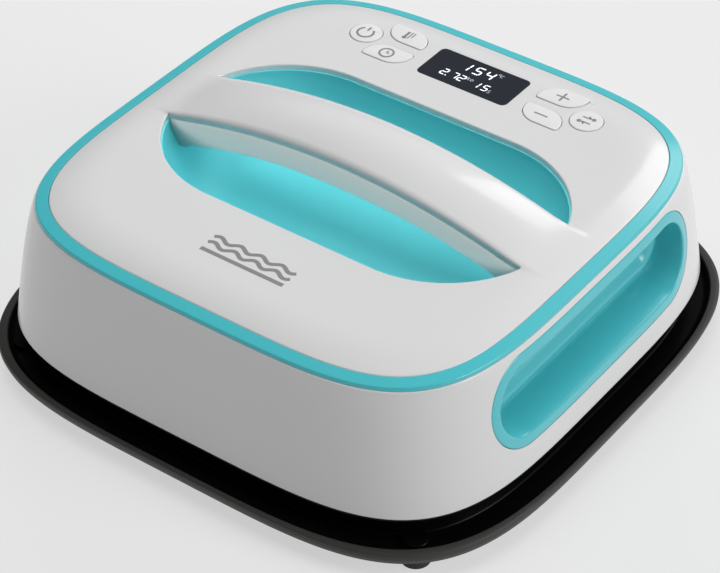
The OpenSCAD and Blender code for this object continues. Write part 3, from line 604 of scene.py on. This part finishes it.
def make_cover():
    """The cover, with smooth normals on top and over its rolled edges."""
    verts, faces, kinds, normals, count = cover_mesh()
    piece = mesh_piece("cover_shell", verts, faces, "white_gloss", "press", ["top_cover"],
                       weighted=False)
    mesh = piece.data
    corner = []
    for polygon, kind in zip(mesh.polygons, kinds):
        for v in polygon.vertices:
            if kind == "under" or (kind == "wall" and v >= count):
                base = normals[v - count] if kind == "wall" else polygon.normal
            else:
                base = normals[v]
            corner.append(tuple(base))
    mesh.normals_split_custom_set(corner)


make_cover()


# ---- trim ring
def make_trim_ring():
    half, z = TRIM_HALF, TRIM_Z
    inner = COVER_HALF + 0.15
    low = RING_LOW[2]
    profile = fillet_path([
        (inner, z + 0.2, 0), (inner, TRIM_TOP, 0.25), (half - 0.55, z + 1.62, 0.9),
        (half, z - 0.2, 0.1), (half - 3.2, z - 0.2, 0.1), (half - 3.4, low, 0.2),
        (inner - 4, z - 2, 0.2), (inner - 4, z, 0.1), (inner, z, 0)])

    def exponent(a, h):
        if h < z and a > inner + 1:
            return SQUARE_N
        share = min(1.0, max(0.0, (a - inner) / (half - 1.6 - inner)))
        return COVER_N + (SQUARE_N - COVER_N) * share

    square_sweep("trim_band", profile, exponent, "teal_plastic", "press", ["trim_ring"])


make_trim_ring()


# ---- housing skirt
def cutter(name, outline, depth, matrix):
    """A prism for cutting, from a closed outline in its own XY plane."""
    n = len(outline)
    verts = [(*p, 0) for p in outline] + [(*p, depth) for p in outline]
    faces = [tuple(reversed(range(n))), tuple(range(n, 2 * n))]
    faces += [(i, (i + 1) % n, n + (i + 1) % n, n + i) for i in range(n)]
    mesh = bpy.data.meshes.new(name)
    mesh.from_pydata([tuple(np.array(v) * MM) for v in verts], [], faces)
    tool = bpy.data.objects.new(name, mesh)
    bpy.context.scene.collection.objects.link(tool)
    tool.matrix_world = matrix
    return tool


def cut(piece, tools):
    """Subtract tools from a piece, and remove them."""
    for tool in tools:
        modifier = piece.modifiers.new("cut", "BOOLEAN")
        modifier.operation = "DIFFERENCE"
        modifier.solver = "EXACT"
        modifier.object = tool
    bpy.context.view_layer.update()
    graph = bpy.context.evaluated_depsgraph_get()
    mesh = bpy.data.meshes.new_from_object(piece.evaluated_get(graph))
    piece.modifiers.clear()
    old = piece.data
    piece.data = mesh
    bpy.data.meshes.remove(old)
    for tool in tools:
        bpy.data.objects.remove(tool)


def stadium_outline(half_length, half_height, steps=40):
    run = half_length - half_height
    right = [[run + half_height * math.cos(t), half_height * math.sin(t)]
             for t in np.linspace(-math.pi / 2, math.pi / 2, steps)]
    left = [[-run + half_height * math.cos(t), half_height * math.sin(t)]
            for t in np.linspace(math.pi / 2, 3 * math.pi / 2, steps)]
    return np.array(right + left)


def make_skirt():
    """Flared outer wall, with openings for the two side grips and the mains inlet."""
    edge = 0.8
    heights = np.linspace(SKIRT_TOP - edge, SKIRT_BOTTOM + edge, 44)
    shoulder = skirt_half(SKIRT_TOP - edge)
    outer = [(shoulder - 1.1, SKIRT_TOP), (shoulder - 0.6, SKIRT_TOP - 0.05),
             (shoulder - 0.3, SKIRT_TOP - 0.18), (shoulder - 0.12, SKIRT_TOP - 0.38)]
    outer += [(skirt_half(z), z) for z in heights]
    outer += [(SKIRT_HALF - 0.15, SKIRT_BOTTOM + 0.35), (SKIRT_HALF - 0.45, SKIRT_BOTTOM + 0.08),
              (SKIRT_HALF - edge, SKIRT_BOTTOM)]
    inner = [(skirt_half(z) - SHELL_WALL, z) for z in np.linspace(SKIRT_BOTTOM, SKIRT_TOP, 8)]
    rings = [square_ring(a, skirt_n(z), z, FINE_POINTS) for a, z in outer + inner]
    piece = skin("skirt_shell", rings, "white_gloss", "press", ["housing_skirt"])
    piece.modifiers.clear()
    grip_gap = 0.25
    outline = stadium_outline(GRIP_HALF_L + grip_gap, GRIP_HALF_H + grip_gap)
    tools = []
    for side in (1, -1):
        axes = Matrix(((0, 0, side, side * 100 * MM), (side, 0, 0, 0), (0, 1, 0, GRIP_Z * MM),
                       (0, 0, 0, 1)))
        tools.append(cutter("grip_cut", outline, 60, axes))
    inlet_mid = (INLET_LOW + INLET_HIGH) / 2
    face_y = INLET_HIGH[1] - 2.5
    w, h = INLET_HIGH[0] - INLET_LOW[0] + 2, INLET_HIGH[2] - INLET_LOW[2] + 4
    axes = Matrix(((1, 0, 0, 0), (0, 0, 1, (face_y - 8) * MM), (0, -1, 0, inlet_mid[2] * MM),
                   (0, 0, 0, 1)))
    tools.append(cutter("inlet_cut", rounded_outline(w, h, [INLET_CORNER] * 4), 30, axes))
    cut(piece, tools)
    shade_skirt(piece)
    make_inlet_recess(face_y, w, h, inlet_mid[2])


def shade_skirt(piece):
    """Give the cut skirt the exact normals of its outer surface."""
    mesh = piece.data
    mesh.shade_smooth()
    mesh.set_sharp_from_angle(angle=math.radians(30))
    co = np.array([tuple(v.co) for v in mesh.vertices]) / MM
    x, y, z = co.T
    n = skirt_n(z)
    half = np.maximum(skirt_half(z), 1)
    on_face = np.abs(square_of(x, y, n) - half) < 0.05
    slope = (skirt_half(z + 0.05) - skirt_half(z - 0.05)) / 0.1
    gx = np.sign(x) * np.abs(x / half) ** (n - 1)
    gy = np.sign(y) * np.abs(y / half) ** (n - 1)
    exact = np.column_stack([gx, gy, -slope])
    exact /= np.linalg.norm(exact, axis=1)[:, None]
    corner = [tuple(c.vector) for c in mesh.corner_normals]
    for polygon in mesh.polygons:
        for index in polygon.loop_indices:
            v = mesh.loops[index].vertex_index
            if on_face[v] and exact[v] @ np.array(polygon.normal) > 0.9:
                corner[index] = tuple(exact[v])
    mesh.normals_split_custom_set(corner)


def make_inlet_recess(face_y, w, h, mid_z):
    """Moulded tub round the mains inlet, behind the skirt's opening."""
    outer = rounded_outline(w, h, [INLET_CORNER] * 4)
    hole = rounded_outline(*INLET_BODY, [1.0] * 4)
    count = len(outer)

    def ring(outline, y):
        return np.column_stack([-outline[:, 0], np.full(count, y), outline[:, 1] + mid_z])

    surface_y = [skirt_x(p[0], p[1] + mid_z) for p in outer]
    front = np.column_stack([-outer[:, 0], surface_y, outer[:, 1] + mid_z])
    behind = offset_loop(outer, 1.6)
    collar = np.column_stack([-behind[:, 0], front[:, 1] - 2.4, behind[:, 1] + mid_z])
    rings = [front - [0, GAP, 0], ring(outer, face_y + 0.8), ring(offset_loop(outer, -0.8), face_y),
             ring(hole, face_y), ring(hole, face_y - 3), ring(behind, face_y - 3), collar]
    skin("inlet_recess", rings, "white_gloss", "press")


make_skirt()


# ---- finger well
def make_liner():
    top = PANEL_Z - 3.2
    inner = smooth_path([
        (WELL_R - 0.6, top), (WELL_R - 1.2, top - 5), (WELL_R - 3.0, top - 13),
        (WELL_R - 6.5, top - 22), (WELL_R - 12, top - 31), (WELL_R - 20, top - 38),
        (WELL_R - 30, LINER_FLOOR + 1), (WELL_R - 45, LINER_FLOOR + 0.2), (2, LINER_FLOOR)], 8)
    outer = [(2, LINER_FLOOR - 2), (WELL_R - 30, LINER_FLOOR - 1.2), (WELL_R - 11, top - 34),
             (WELL_R - 1, top - 12), (WELL_R + 1, top - 2), (WELL_R + 5, top - 2),
             (WELL_R + 5, top)]
    rings = [stadium_ring(r, z) for r, z in inner[::-1]]
    rings += [stadium_ring(r, z) for r, z in outer[::-1]]
    skin("well_bowl", rings, "teal_liner", "press", ["well_liner"], loop=False)


make_liner()


# ---- handle underside
def make_handle_grip():
    """Shell along the handle's underside, its white plastic coloured darker grey as painted shade;
    its ends lean with the bowl's wall.
    """
    steps = 90
    wall = 2.5
    h = HANDLE_HALF_W - 0.35
    low_half = 16.0
    root_dip, root_x, root_width = 0.8, 101, 3.0
    sections = []
    for s in np.linspace(-1, 1, steps):
        x = s * (WELL_RUN + WELL_R - 3.9)
        e = float(handle_edge(x)) - 3.35
        low = float(handle_low(x)) - root_dip * math.exp(-((abs(x) - root_x) / root_width) ** 2)
        outer = smooth_path([(h - 0.5, e), (h, e - 0.5), (h - 0.2, e - 0.3 * (e - low)),
                             (low_half + 1.2, low + 2.2), (low_half - 0.8, low),
                             (10, low - 0.9), (0, low - 1.4)], 4)
        outer = np.vstack([outer, (outer * [-1, 1])[::-1][1:]])
        inner = np.array([(h - wall, e), (h - wall - 0.4, e - 0.4 * (e - low)),
                          (low_half - 2.6, low + 2.4), (0, low + 0.9)])
        inner = np.vstack([inner, (inner * [-1, 1])[::-1][1:]])[::-1]
        loop = np.vstack([outer, inner])
        rise = loop[:, 1] - TRIM_Z + 12
        end_r = WELL_R - 3.4 + np.where(rise > 0, 0.2, 0.36) * rise
        reach = WELL_RUN + np.sqrt(end_r ** 2 - loop[:, 0] ** 2) - 0.4
        sections.append(np.column_stack([s * reach, loop]))
    m = len(sections[0])
    verts = np.vstack(sections)
    faces = []
    for k in range(steps - 1):
        a, b = k * m, (k + 1) * m
        faces += [(a + i, a + (i + 1) % m, b + (i + 1) % m, b + i) for i in range(m)]
    last = (steps - 1) * m
    faces.append(tuple(reversed(range(m))))
    faces.append(tuple(range(last, last + m)))
    # grip_grey paints shade: white plastic coloured darker grey for the shade under the handle
    mesh_piece("handle_underside", verts, faces, "grip_grey", "press", ["handle_grip"])


make_handle_grip()


# ---- side grips
def grip_ring(inset, depth, side, flat=False, count=240):
    """Ring round a side grip, inset from its outline: at a depth below the skirt's face, or,
    when flat, all at one distance from the middle plane."""
    t = np.linspace(0, 2 * np.pi, count, endpoint=False)
    r = GRIP_HALF_H - inset
    run = GRIP_HALF_L - GRIP_HALF_H
    length = 4 * run + 2 * math.pi * r
    s = t / (2 * np.pi) * length
    y, z = np.zeros(count), np.zeros(count)
    half_arc = math.pi * r
    for i, q in enumerate(s):
        if q < half_arc:
            a = -math.pi / 2 + q / r
            y[i], z[i] = run + r * math.cos(a), r * math.sin(a)
        elif q < half_arc + 2 * run:
            y[i], z[i] = run - (q - half_arc), r
        elif q < 2 * half_arc + 2 * run:
            a = math.pi / 2 + (q - half_arc - 2 * run) / r
            y[i], z[i] = -run + r * math.cos(a), r * math.sin(a)
        else:
            y[i], z[i] = -run + (q - 2 * half_arc - 2 * run), -r
    z = z + GRIP_Z
    x = np.full(count, float(depth)) if flat else skirt_x(y, z) - depth
    return np.column_stack([side * x, y, z])


def make_side_grip(name, node, side):
    """A finger recess, as (inset, depth or x, flat) rows from its floor out over its border."""
    floor = GRIP_FLOOR
    shape = [(24, floor + 2.2, True), (21.0, floor + 2.3, True), (19.8, floor + 2.6, True),
             (18.6, floor + 3.3, True), (17.2, floor + 4.5, True), (15.8, floor + 5.5, True),
             (14.4, floor + 6.0, True), (13.4, floor + 6.0, True), (12.6, floor + 5.7, True),
             (10.9, floor + 4.1, True), (10.2, floor + 3.7, True), (9.4, floor + 3.7, True),
             (8.8, floor + 4.0, True), (8.4, floor + 4.8, True), (8.2, floor + 6.2, True),
             (6.6, 5, False), (5.9, 1.4, False), (5.6, 0.5, False), (5.3, 0.12, False),
             (4.9, -0.05, False), (4.4, -0.1, False), (1.2, -0.1, False), (0.5, -0.05, False),
             (0.15, 0.12, False), (0, 0.5, False), (0, 2.8, False), (4, 2.8, False),
             (5.4, 7, False), (6.2, floor + 4, True), (8.2, floor + 0.6, True),
             (12, floor - 1.4, True), (24, floor - 1.8, True)]
    rings = [grip_ring(inset, depth, side, flat) for inset, depth, flat in shape]
    if side < 0:
        rings = [ring[::-1] for ring in rings]
    skin(name, rings, "teal_plastic", "press", [node], loop=False)


make_side_grip("grip_right", "side_grip_right", 1)
make_side_grip("grip_left", "side_grip_left", -1)


# ---- base
def make_bezel_and_gasket():
    """Plate under the housing's edge, and the soft ring on top of the base's rib below it."""
    low, top = BEZEL_LOW[2], SKIRT_BOTTOM - GAP
    half = BEZEL_HIGH[0]
    inner = half - 12.9
    plug = half - 2.9
    profile = fillet_path([(half - 1, top, 0), (half, top, 0.1), (half - 0.2, low, 0.5),
                           (inner, low, 0.4), (inner, low + 2.2, 0.2), (plug, low + 2.2, 0.1),
                           (plug, top, 0)], 4)
    square_sweep("bezel_plate", profile,
                 lambda a, z: BEZEL_N if a < inner + 1 else SQUARE_N + SKIRT_N_GAIN,
                 "dark_plastic", "press", ["bottom_bezel"])
    half, low, top = GASKET_HIGH[0], GASKET_LOW[2], GASKET_HIGH[2]
    profile = fillet_path([(half - 1.1, top, 0), (half, top, 0.4), (half, low, 0.05),
                           (half - 2.2, low, 0.05), (half - 2.2, top, 0.4),
                           (half - 1.1, top, 0)], 4)[:-1]
    square_sweep("gasket_ring", profile, lambda a, z: RIB_N, "black_rubber", "base",
                 ["rim_gasket"])


make_bezel_and_gasket()


def make_tray():
    """The base: floor, rib, channel with a boss over each foot, and rim bead."""
    low, top, floor, channel = FOOT_TOP, RIM_TOP, MAT_LOW[2], FOOT_TOP + 2.6
    rib, rib_top, rim = RIB_HALF, GASKET_LOW[2], RIM_HALF
    bowl = [(80, floor), (rib - 6.2, floor)]
    bowl += [tuple(p) for p in fillet_path([
        (rib - 5.8, floor, 0), (rib - 4.6, floor, 1.0), (rib - 3.4, rib_top, 0.6),
        (rib, rib_top, 0.7), (rib + 1.0, channel, 1.4), (rim - 5.0, channel, 2.0),
        (rim - 3.0, top - 1.2, 0)], 6)]
    bead = [tuple(p) for p in fillet_path([
        (rim - 3.0, top - 1.1, 0), (rim - 2.6, top, 0.8), (rim + 0.1, top, 1.4),
        (rim - 0.2, top - 3, 1.5), (rim - 1.2, low, 1.2), (rim - 3.5, low, 0)], 10)]
    under = [(rib - 1.6, low), (rib - 3, TRAY_LOW[2]), (100, TRAY_LOW[2])]

    def exponent(a, z):
        if a < rib + 2.2:
            return RIB_N
        if a < rim - 2.4 and z > low + 1.3:
            return CHANNEL_N
        return 4.14 - 0.12 * min(1.0, max(0.0, (z - top + 2) / 2))

    path = bowl + bead + under
    rings = [square_ring(a, exponent(a, z), z, FINE_POINTS) for a, z in path]
    piece = skin("tray_shell", rings, "black_plastic", "base", ["base_tray"], loop=False)
    piece.data.materials.append(MATERIALS["lip_rubber"])
    first, last = len(bowl), len(bowl) + len(bead)
    for polygon in piece.data.polygons:
        ring = min(polygon.vertices) // FINE_POINTS
        if first <= ring < last - 1 and max(polygon.vertices) < len(path) * FINE_POINTS:
            polygon.material_index = 1
    for foot in FEET:
        centre = middle(*box_mm(foot))
        domed_prism(foot + "_boss", circle_outline(6.2), centre, channel - 0.6, channel + 2.4,
                    0.1, 0.8, "black_plastic", "base", ["base_tray"])


make_tray()


# ---- keys
def make_keys():
    for key in KEYS:
        high = box_mm(key + "_key")[1]
        outline, centre = key_outline(key)
        domed_prism(key + "_cap", outline, centre, PANEL_Z - 3.4, high[2] - 0.22, 0.2, 0.45,
                    "key_white", key + "_button", [key + "_key"])


make_keys()


# ---- printed marks
def strip_outline(points, width, closed=False):
    """Flat ribbon along a path, of one width or a width for each point: vertices and quads."""
    pts = np.array(points, float)
    if closed:
        ahead = np.roll(pts, -1, 0) - np.roll(pts, 1, 0)
    else:
        ahead = np.gradient(pts, axis=0)
    ahead /= np.linalg.norm(ahead, axis=1)[:, None]
    half = np.broadcast_to(np.asarray(width, float) / 2, len(pts))[:, None]
    side = np.column_stack([-ahead[:, 1], ahead[:, 0]]) * half
    verts = np.vstack([pts + side, pts - side])
    n = len(pts)
    quads = [(i, n + i, n + (i + 1) % n, (i + 1) % n) for i in range(n if closed else n - 1)]
    return verts, quads


def arc(cx, cy, r, start, end, steps=28):
    t = np.radians(np.linspace(start, end, steps))
    return np.column_stack([cx + r * np.cos(t), cy + r * np.sin(t)])


def segment(a, b, steps=2):
    return np.linspace(a, b, steps)


def printed(name, strokes, centre, z, material, body, height=0.03, slant=0.0):
    """Thin raised marks from (points, width, closed) strokes, each a closed slab."""
    verts, faces = [], []
    for points, width, closed in strokes:
        flat, quads = strip_outline(points, width, closed)
        flat = flat + np.column_stack([flat[:, 1] * slant, np.zeros(len(flat))])
        start, n = len(verts), len(flat)
        heights = z(flat[:, 0] + centre[0], flat[:, 1] + centre[1]) if callable(z) else z
        for lift in (height, 0.0):
            layer = np.column_stack([flat + centre, np.broadcast_to(heights, n) + lift])
            verts += list(layer)
        half = n // 2
        faces += [tuple(start + i for i in q) for q in quads]
        faces += [tuple(start + n + i for i in reversed(q)) for q in quads]
        pairs = []
        for i in range(half if closed else half - 1):
            j = (i + 1) % half
            pairs += [(j, i), (half + i, half + j)]
        if not closed:
            pairs += [(0, half), (2 * half - 1, half - 1)]
        faces += [(start + a, start + b, start + n + b, start + n + a) for a, b in pairs]
    mesh_piece(name, verts, faces, material, body, weighted=False)


SEGMENTS = {"0": "abcdef", "1": "bc", "2": "abged", "3": "abgcd", "4": "fgbc", "5": "afgcd",
            "6": "afgedc", "7": "abc", "8": "abcdefg", "9": "abcdfg"}


def bar(a, b, thick):
    """One display segment: a bar with blunt pointed ends."""
    a, b = np.array(a, float), np.array(b, float)
    along = (b - a) / np.linalg.norm(b - a)
    tip = along * thick * 0.4
    return [a, a + tip, b - tip, b], (thick * 0.3, thick, thick, thick * 0.3), False


def seven_segment(digit, cx, cy, w, h, thick):
    """Strokes of one seven-segment digit about its centre."""
    g = thick * 0.22
    left, right, low, top = cx - w / 2, cx + w / 2, cy - h / 2, cy + h / 2
    if digit == "1":
        left = right = cx
    ends = {"a": ((left + g, top), (right - g, top)), "d": ((left + g, low), (right - g, low)),
            "g": ((left + g, cy), (right - g, cy)),
            "f": ((left, cy + g), (left, top - g)), "b": ((right, cy + g), (right, top - g)),
            "e": ((left, low + g), (left, cy - g)), "c": ((right, low + g), (right, cy - g))}
    return [bar(*ends[s], thick) for s in SEGMENTS[digit]]


def number(digits, y, w, h, thick):
    """Strokes of a row of digits, each given with the place of its centre."""
    strokes = []
    for digit, x in digits:
        strokes += seven_segment(digit, x, y, w, h, thick)
    return strokes


def make_display():
    w, d = (WINDOW_HIGH - WINDOW_LOW)[:2]
    centre = middle(WINDOW_LOW, WINDOW_HIGH)
    top = WINDOW_HIGH[2]
    domed_prism("window_lens", rounded_outline(w, d, [WINDOW_CORNER] * 4), centre, WINDOW_LOW[2],
                top - 0.06, 0.01, 0.3, "display_lens", "press", ["display_window"])
    strokes = number((("1", -6.6), ("5", -1.0), ("4", 5.6)), 5.2, 3.9, 6.4, 0.82)
    strokes += number((("2", -13.6), ("7", -7.4), ("2", -3.2)), -4.9, 2.9, 4.9, 0.64)
    strokes += number((("1", 7.6), ("5", 11.6)), -5.2, 2.8, 4.8, 0.64)
    strokes += [(segment((-11.6, -7.3), (-10.9, -7.3)), 0.7, False)]
    print_z, print_height, slant = top - 0.052, 0.02, 0.16
    printed("display_digits", strokes, centre, print_z, "digit_white", "press", print_height,
            slant)
    units = [(arc(9.0, 8.9, 0.55, 0, 330, 12), 0.3, True),
             (arc(10.9, 8.0, 0.95, 50, 310, 14), 0.42, False),
             (segment((-0.9, -4.4), (-0.9, -1.9)), 0.5, False),
             (segment((0.5, -2.6), (-0.6, -3.4)), 0.42, False),
             (segment((-0.6, -3.4), (0.5, -4.4)), 0.42, False),
             (arc(1.9, -3.5, 0.75, 0, 330, 14), 0.42, True),
             (arc(14.9, -6.3, 0.62, 40, 250, 12), 0.4, False),
             (arc(14.9, -7.5, 0.62, 70, -140, 12), 0.4, False)]
    printed("display_units", units, centre, print_z, "unit_grey", "press", print_height, slant)


make_display()


def make_icons():
    """One generic mark on each key; shifts move some of them a little off the key's middle."""
    marks = {
        "power": [(arc(0, 0, 4.3, 128, 412, 44), 1.2, False),
                  (segment((0, 1.7), (0, 5.3)), 1.2, False)],
        "timer": [(arc(0, 0, 3.7, 0, 352, 44), 1.1, True),
                  (segment((0, 2.1), (0, -0.2)), 0.75, False),
                  (segment((-0.1, -0.1), (1.7, -0.1)), 0.75, False)],
        "plus": [(segment((-3.7, 0), (3.7, 0)), 1.1, False),
                 (segment((0, 0.55), (0, 3.7)), 1.1, False),
                 (segment((0, -3.7), (0, -0.55)), 1.1, False)],
        "minus": [(segment((-3.8, 0), (3.8, 0)), 1.1, False)],
        "temperature": [(segment((-1.3, 3.4), (-1.3, -1.2)), 1.5, False),
                        (arc(-1.3, -2.2, 0.62, 0, 350, 20), 1.3, True),
                        (segment((0.7, 3.7), (0.7, -2.4)), 0.75, False),
                        (segment((2.3, 3.7), (2.3, -1.0)), 0.75, False)],
        "mode": [(segment((-3.2, 1.9), (1.3, 1.9)), 1.0, False),
                 (segment((-0.2, 3.5), (1.45, 1.9)), 1.0, False),
                 (segment((3.2, -1.9), (-1.3, -1.9)), 1.0, False),
                 (segment((0.2, -3.5), (-1.45, -1.9)), 1.0, False),
                 (arc(3.0, 2.2, 0.7, 0, 340, 18), 1.1, True),
                 (arc(-3.0, -2.2, 0.7, 0, 340, 18), 1.1, True)],
    }
    shifts = {"power": (-0.3, -0.3), "temperature": (-0.4, -0.1), "timer": (-0.6, -0.2),
              "minus": (-0.8, 0.0)}
    for key in KEYS:
        low, high = box_mm(key + "_key")
        centre = middle(low, high) + shifts.get(key, (0, 0))
        printed(key + "_mark", marks[key], centre, high[2] - 0.05, "icon_grey", key + "_button",
                0.03)


make_icons()


def make_badge():
    """A plain mark in front of the well: two long heat waves over a flat plate."""
    half_length, wave_length, wave_height = 24, 12.0, 1.3
    x = np.linspace(-half_length, half_length, 140)
    strokes = [(segment((-half_length, -5.2), (half_length, -5.2), 60), 2.4, False)]
    for y in (0.2, 5.0):
        wave = np.column_stack([x, y + wave_height * np.sin(x / wave_length * 2 * np.pi)])
        strokes.append((wave, 2.2, False))
    printed("front_mark", strokes, np.array([0, -89]), cover_height, "icon_grey", "press", 0.05)


make_badge()


# ---- studio
def make_floor():
    """A pale table top that glows softly, so that shadows on it stay faint."""
    mesh = bpy.data.meshes.new("floor")
    size = 12.0
    mesh.from_pydata([(-size, -size, 0), (size, -size, 0), (size, size, 0), (-size, size, 0)], [],
                     [(0, 1, 2, 3)])
    floor = bpy.data.objects.new("floor", mesh)
    bpy.context.scene.collection.objects.link(floor)
    mesh.materials.append(surface("floor_pale", (0.25, 0.25, 0.25), 0.9, shade=0.0, grain_depth=0,
                                  specular=0.0, emission=2.3))


def area_light(name, place, target, size, power, glossy=True):
    data = bpy.data.lights.new(name, "AREA")
    data.shape = "RECTANGLE"
    data.size, data.size_y = size
    data.energy = power
    light = bpy.data.objects.new(name, data)
    light.location = place
    light.rotation_euler = (Vector(target) - Vector(place)).to_track_quat("-Z", "Y").to_euler()
    light.visible_glossy = glossy
    bpy.context.scene.collection.objects.link(light)
    return light


def small_fill(name, place, target, size, power, piece):
    """A soft light that only one piece receives, for the parts the handle keeps in shade."""
    light = area_light(name, place, target, size, power, glossy=False)
    receivers = bpy.data.collections.new(name + "_receivers")
    receivers.objects.link(bpy.data.objects[piece])
    light.light_linking.receiver_collection = receivers
    return light


def make_studio():
    """Four soft lights for the whole object, and a fill each for the handle and the well."""
    make_floor()
    world = bpy.data.worlds.new("studio")
    world.use_nodes = True
    background = world.node_tree.nodes["Background"]
    background.inputs["Color"].default_value = (1, 1, 1, 1)
    background.inputs["Strength"].default_value = 0.08
    bpy.context.scene.world = world
    aim = (0, 0, 0.05)
    area_light("top_soft", (-0.2, -0.05, 2.2), aim, (1.5, 1.5), 26, glossy=False)
    area_light("back_left_soft", (-1.6, 2.2, 1.25), aim, (1.4, 1.0), 28, glossy=False)
    area_light("key_right", (4.0, 0.95, 2.1), aim, (2.2, 2.2), 105)
    area_light("back_panel", (0.3, 2.7, 1.9), aim, (2.0, 1.2), 23)
    small_fill("handle_fill", (0.2, -2.2, 1.0), (0, 0, 0.09), (1.2, 0.8), 52, "handle_underside")
    well = small_fill("well_fill", (0, 0.25, 2.2), aim, (0.8, 0.8), 21, "well_bowl")
    blockers = bpy.data.collections.new("well_fill_blockers")
    blockers.objects.link(bpy.data.objects["floor"])
    well.light_linking.blocker_collection = blockers
    bpy.context.scene.view_settings.view_transform = "Standard"


def make_camera():
    """The viewing angle: from the front right and above, through a long lens."""
    azimuth, elevation, roll = math.radians(36.27), math.radians(39.08), math.radians(-0.24)
    aim = Vector((0.01568, -0.02354, 0.047))
    distance = 1.2519
    back = Vector((math.sin(azimuth) * math.cos(elevation),
                   -math.cos(azimuth) * math.cos(elevation), math.sin(elevation)))
    right = Vector((math.cos(azimuth), math.sin(azimuth), 0))
    up = back.cross(right)
    turn = Matrix.Rotation(roll, 3, back)
    right, up = turn @ right, turn @ up
    data = bpy.data.cameras.new("camera")
    data.sensor_fit = "HORIZONTAL"
    data.sensor_width = 36
    data.lens = 128.8
    data.clip_end = 100
    camera = bpy.data.objects.new("camera", data)
    rotation = Matrix((right, up, back)).transposed()
    camera.matrix_world = Matrix.Translation(aim + back * distance) @ rotation.to_4x4()
    bpy.context.scene.collection.objects.link(camera)
    bpy.context.scene.camera = camera


make_studio()
make_camera()

bpy.context.view_layer.update()
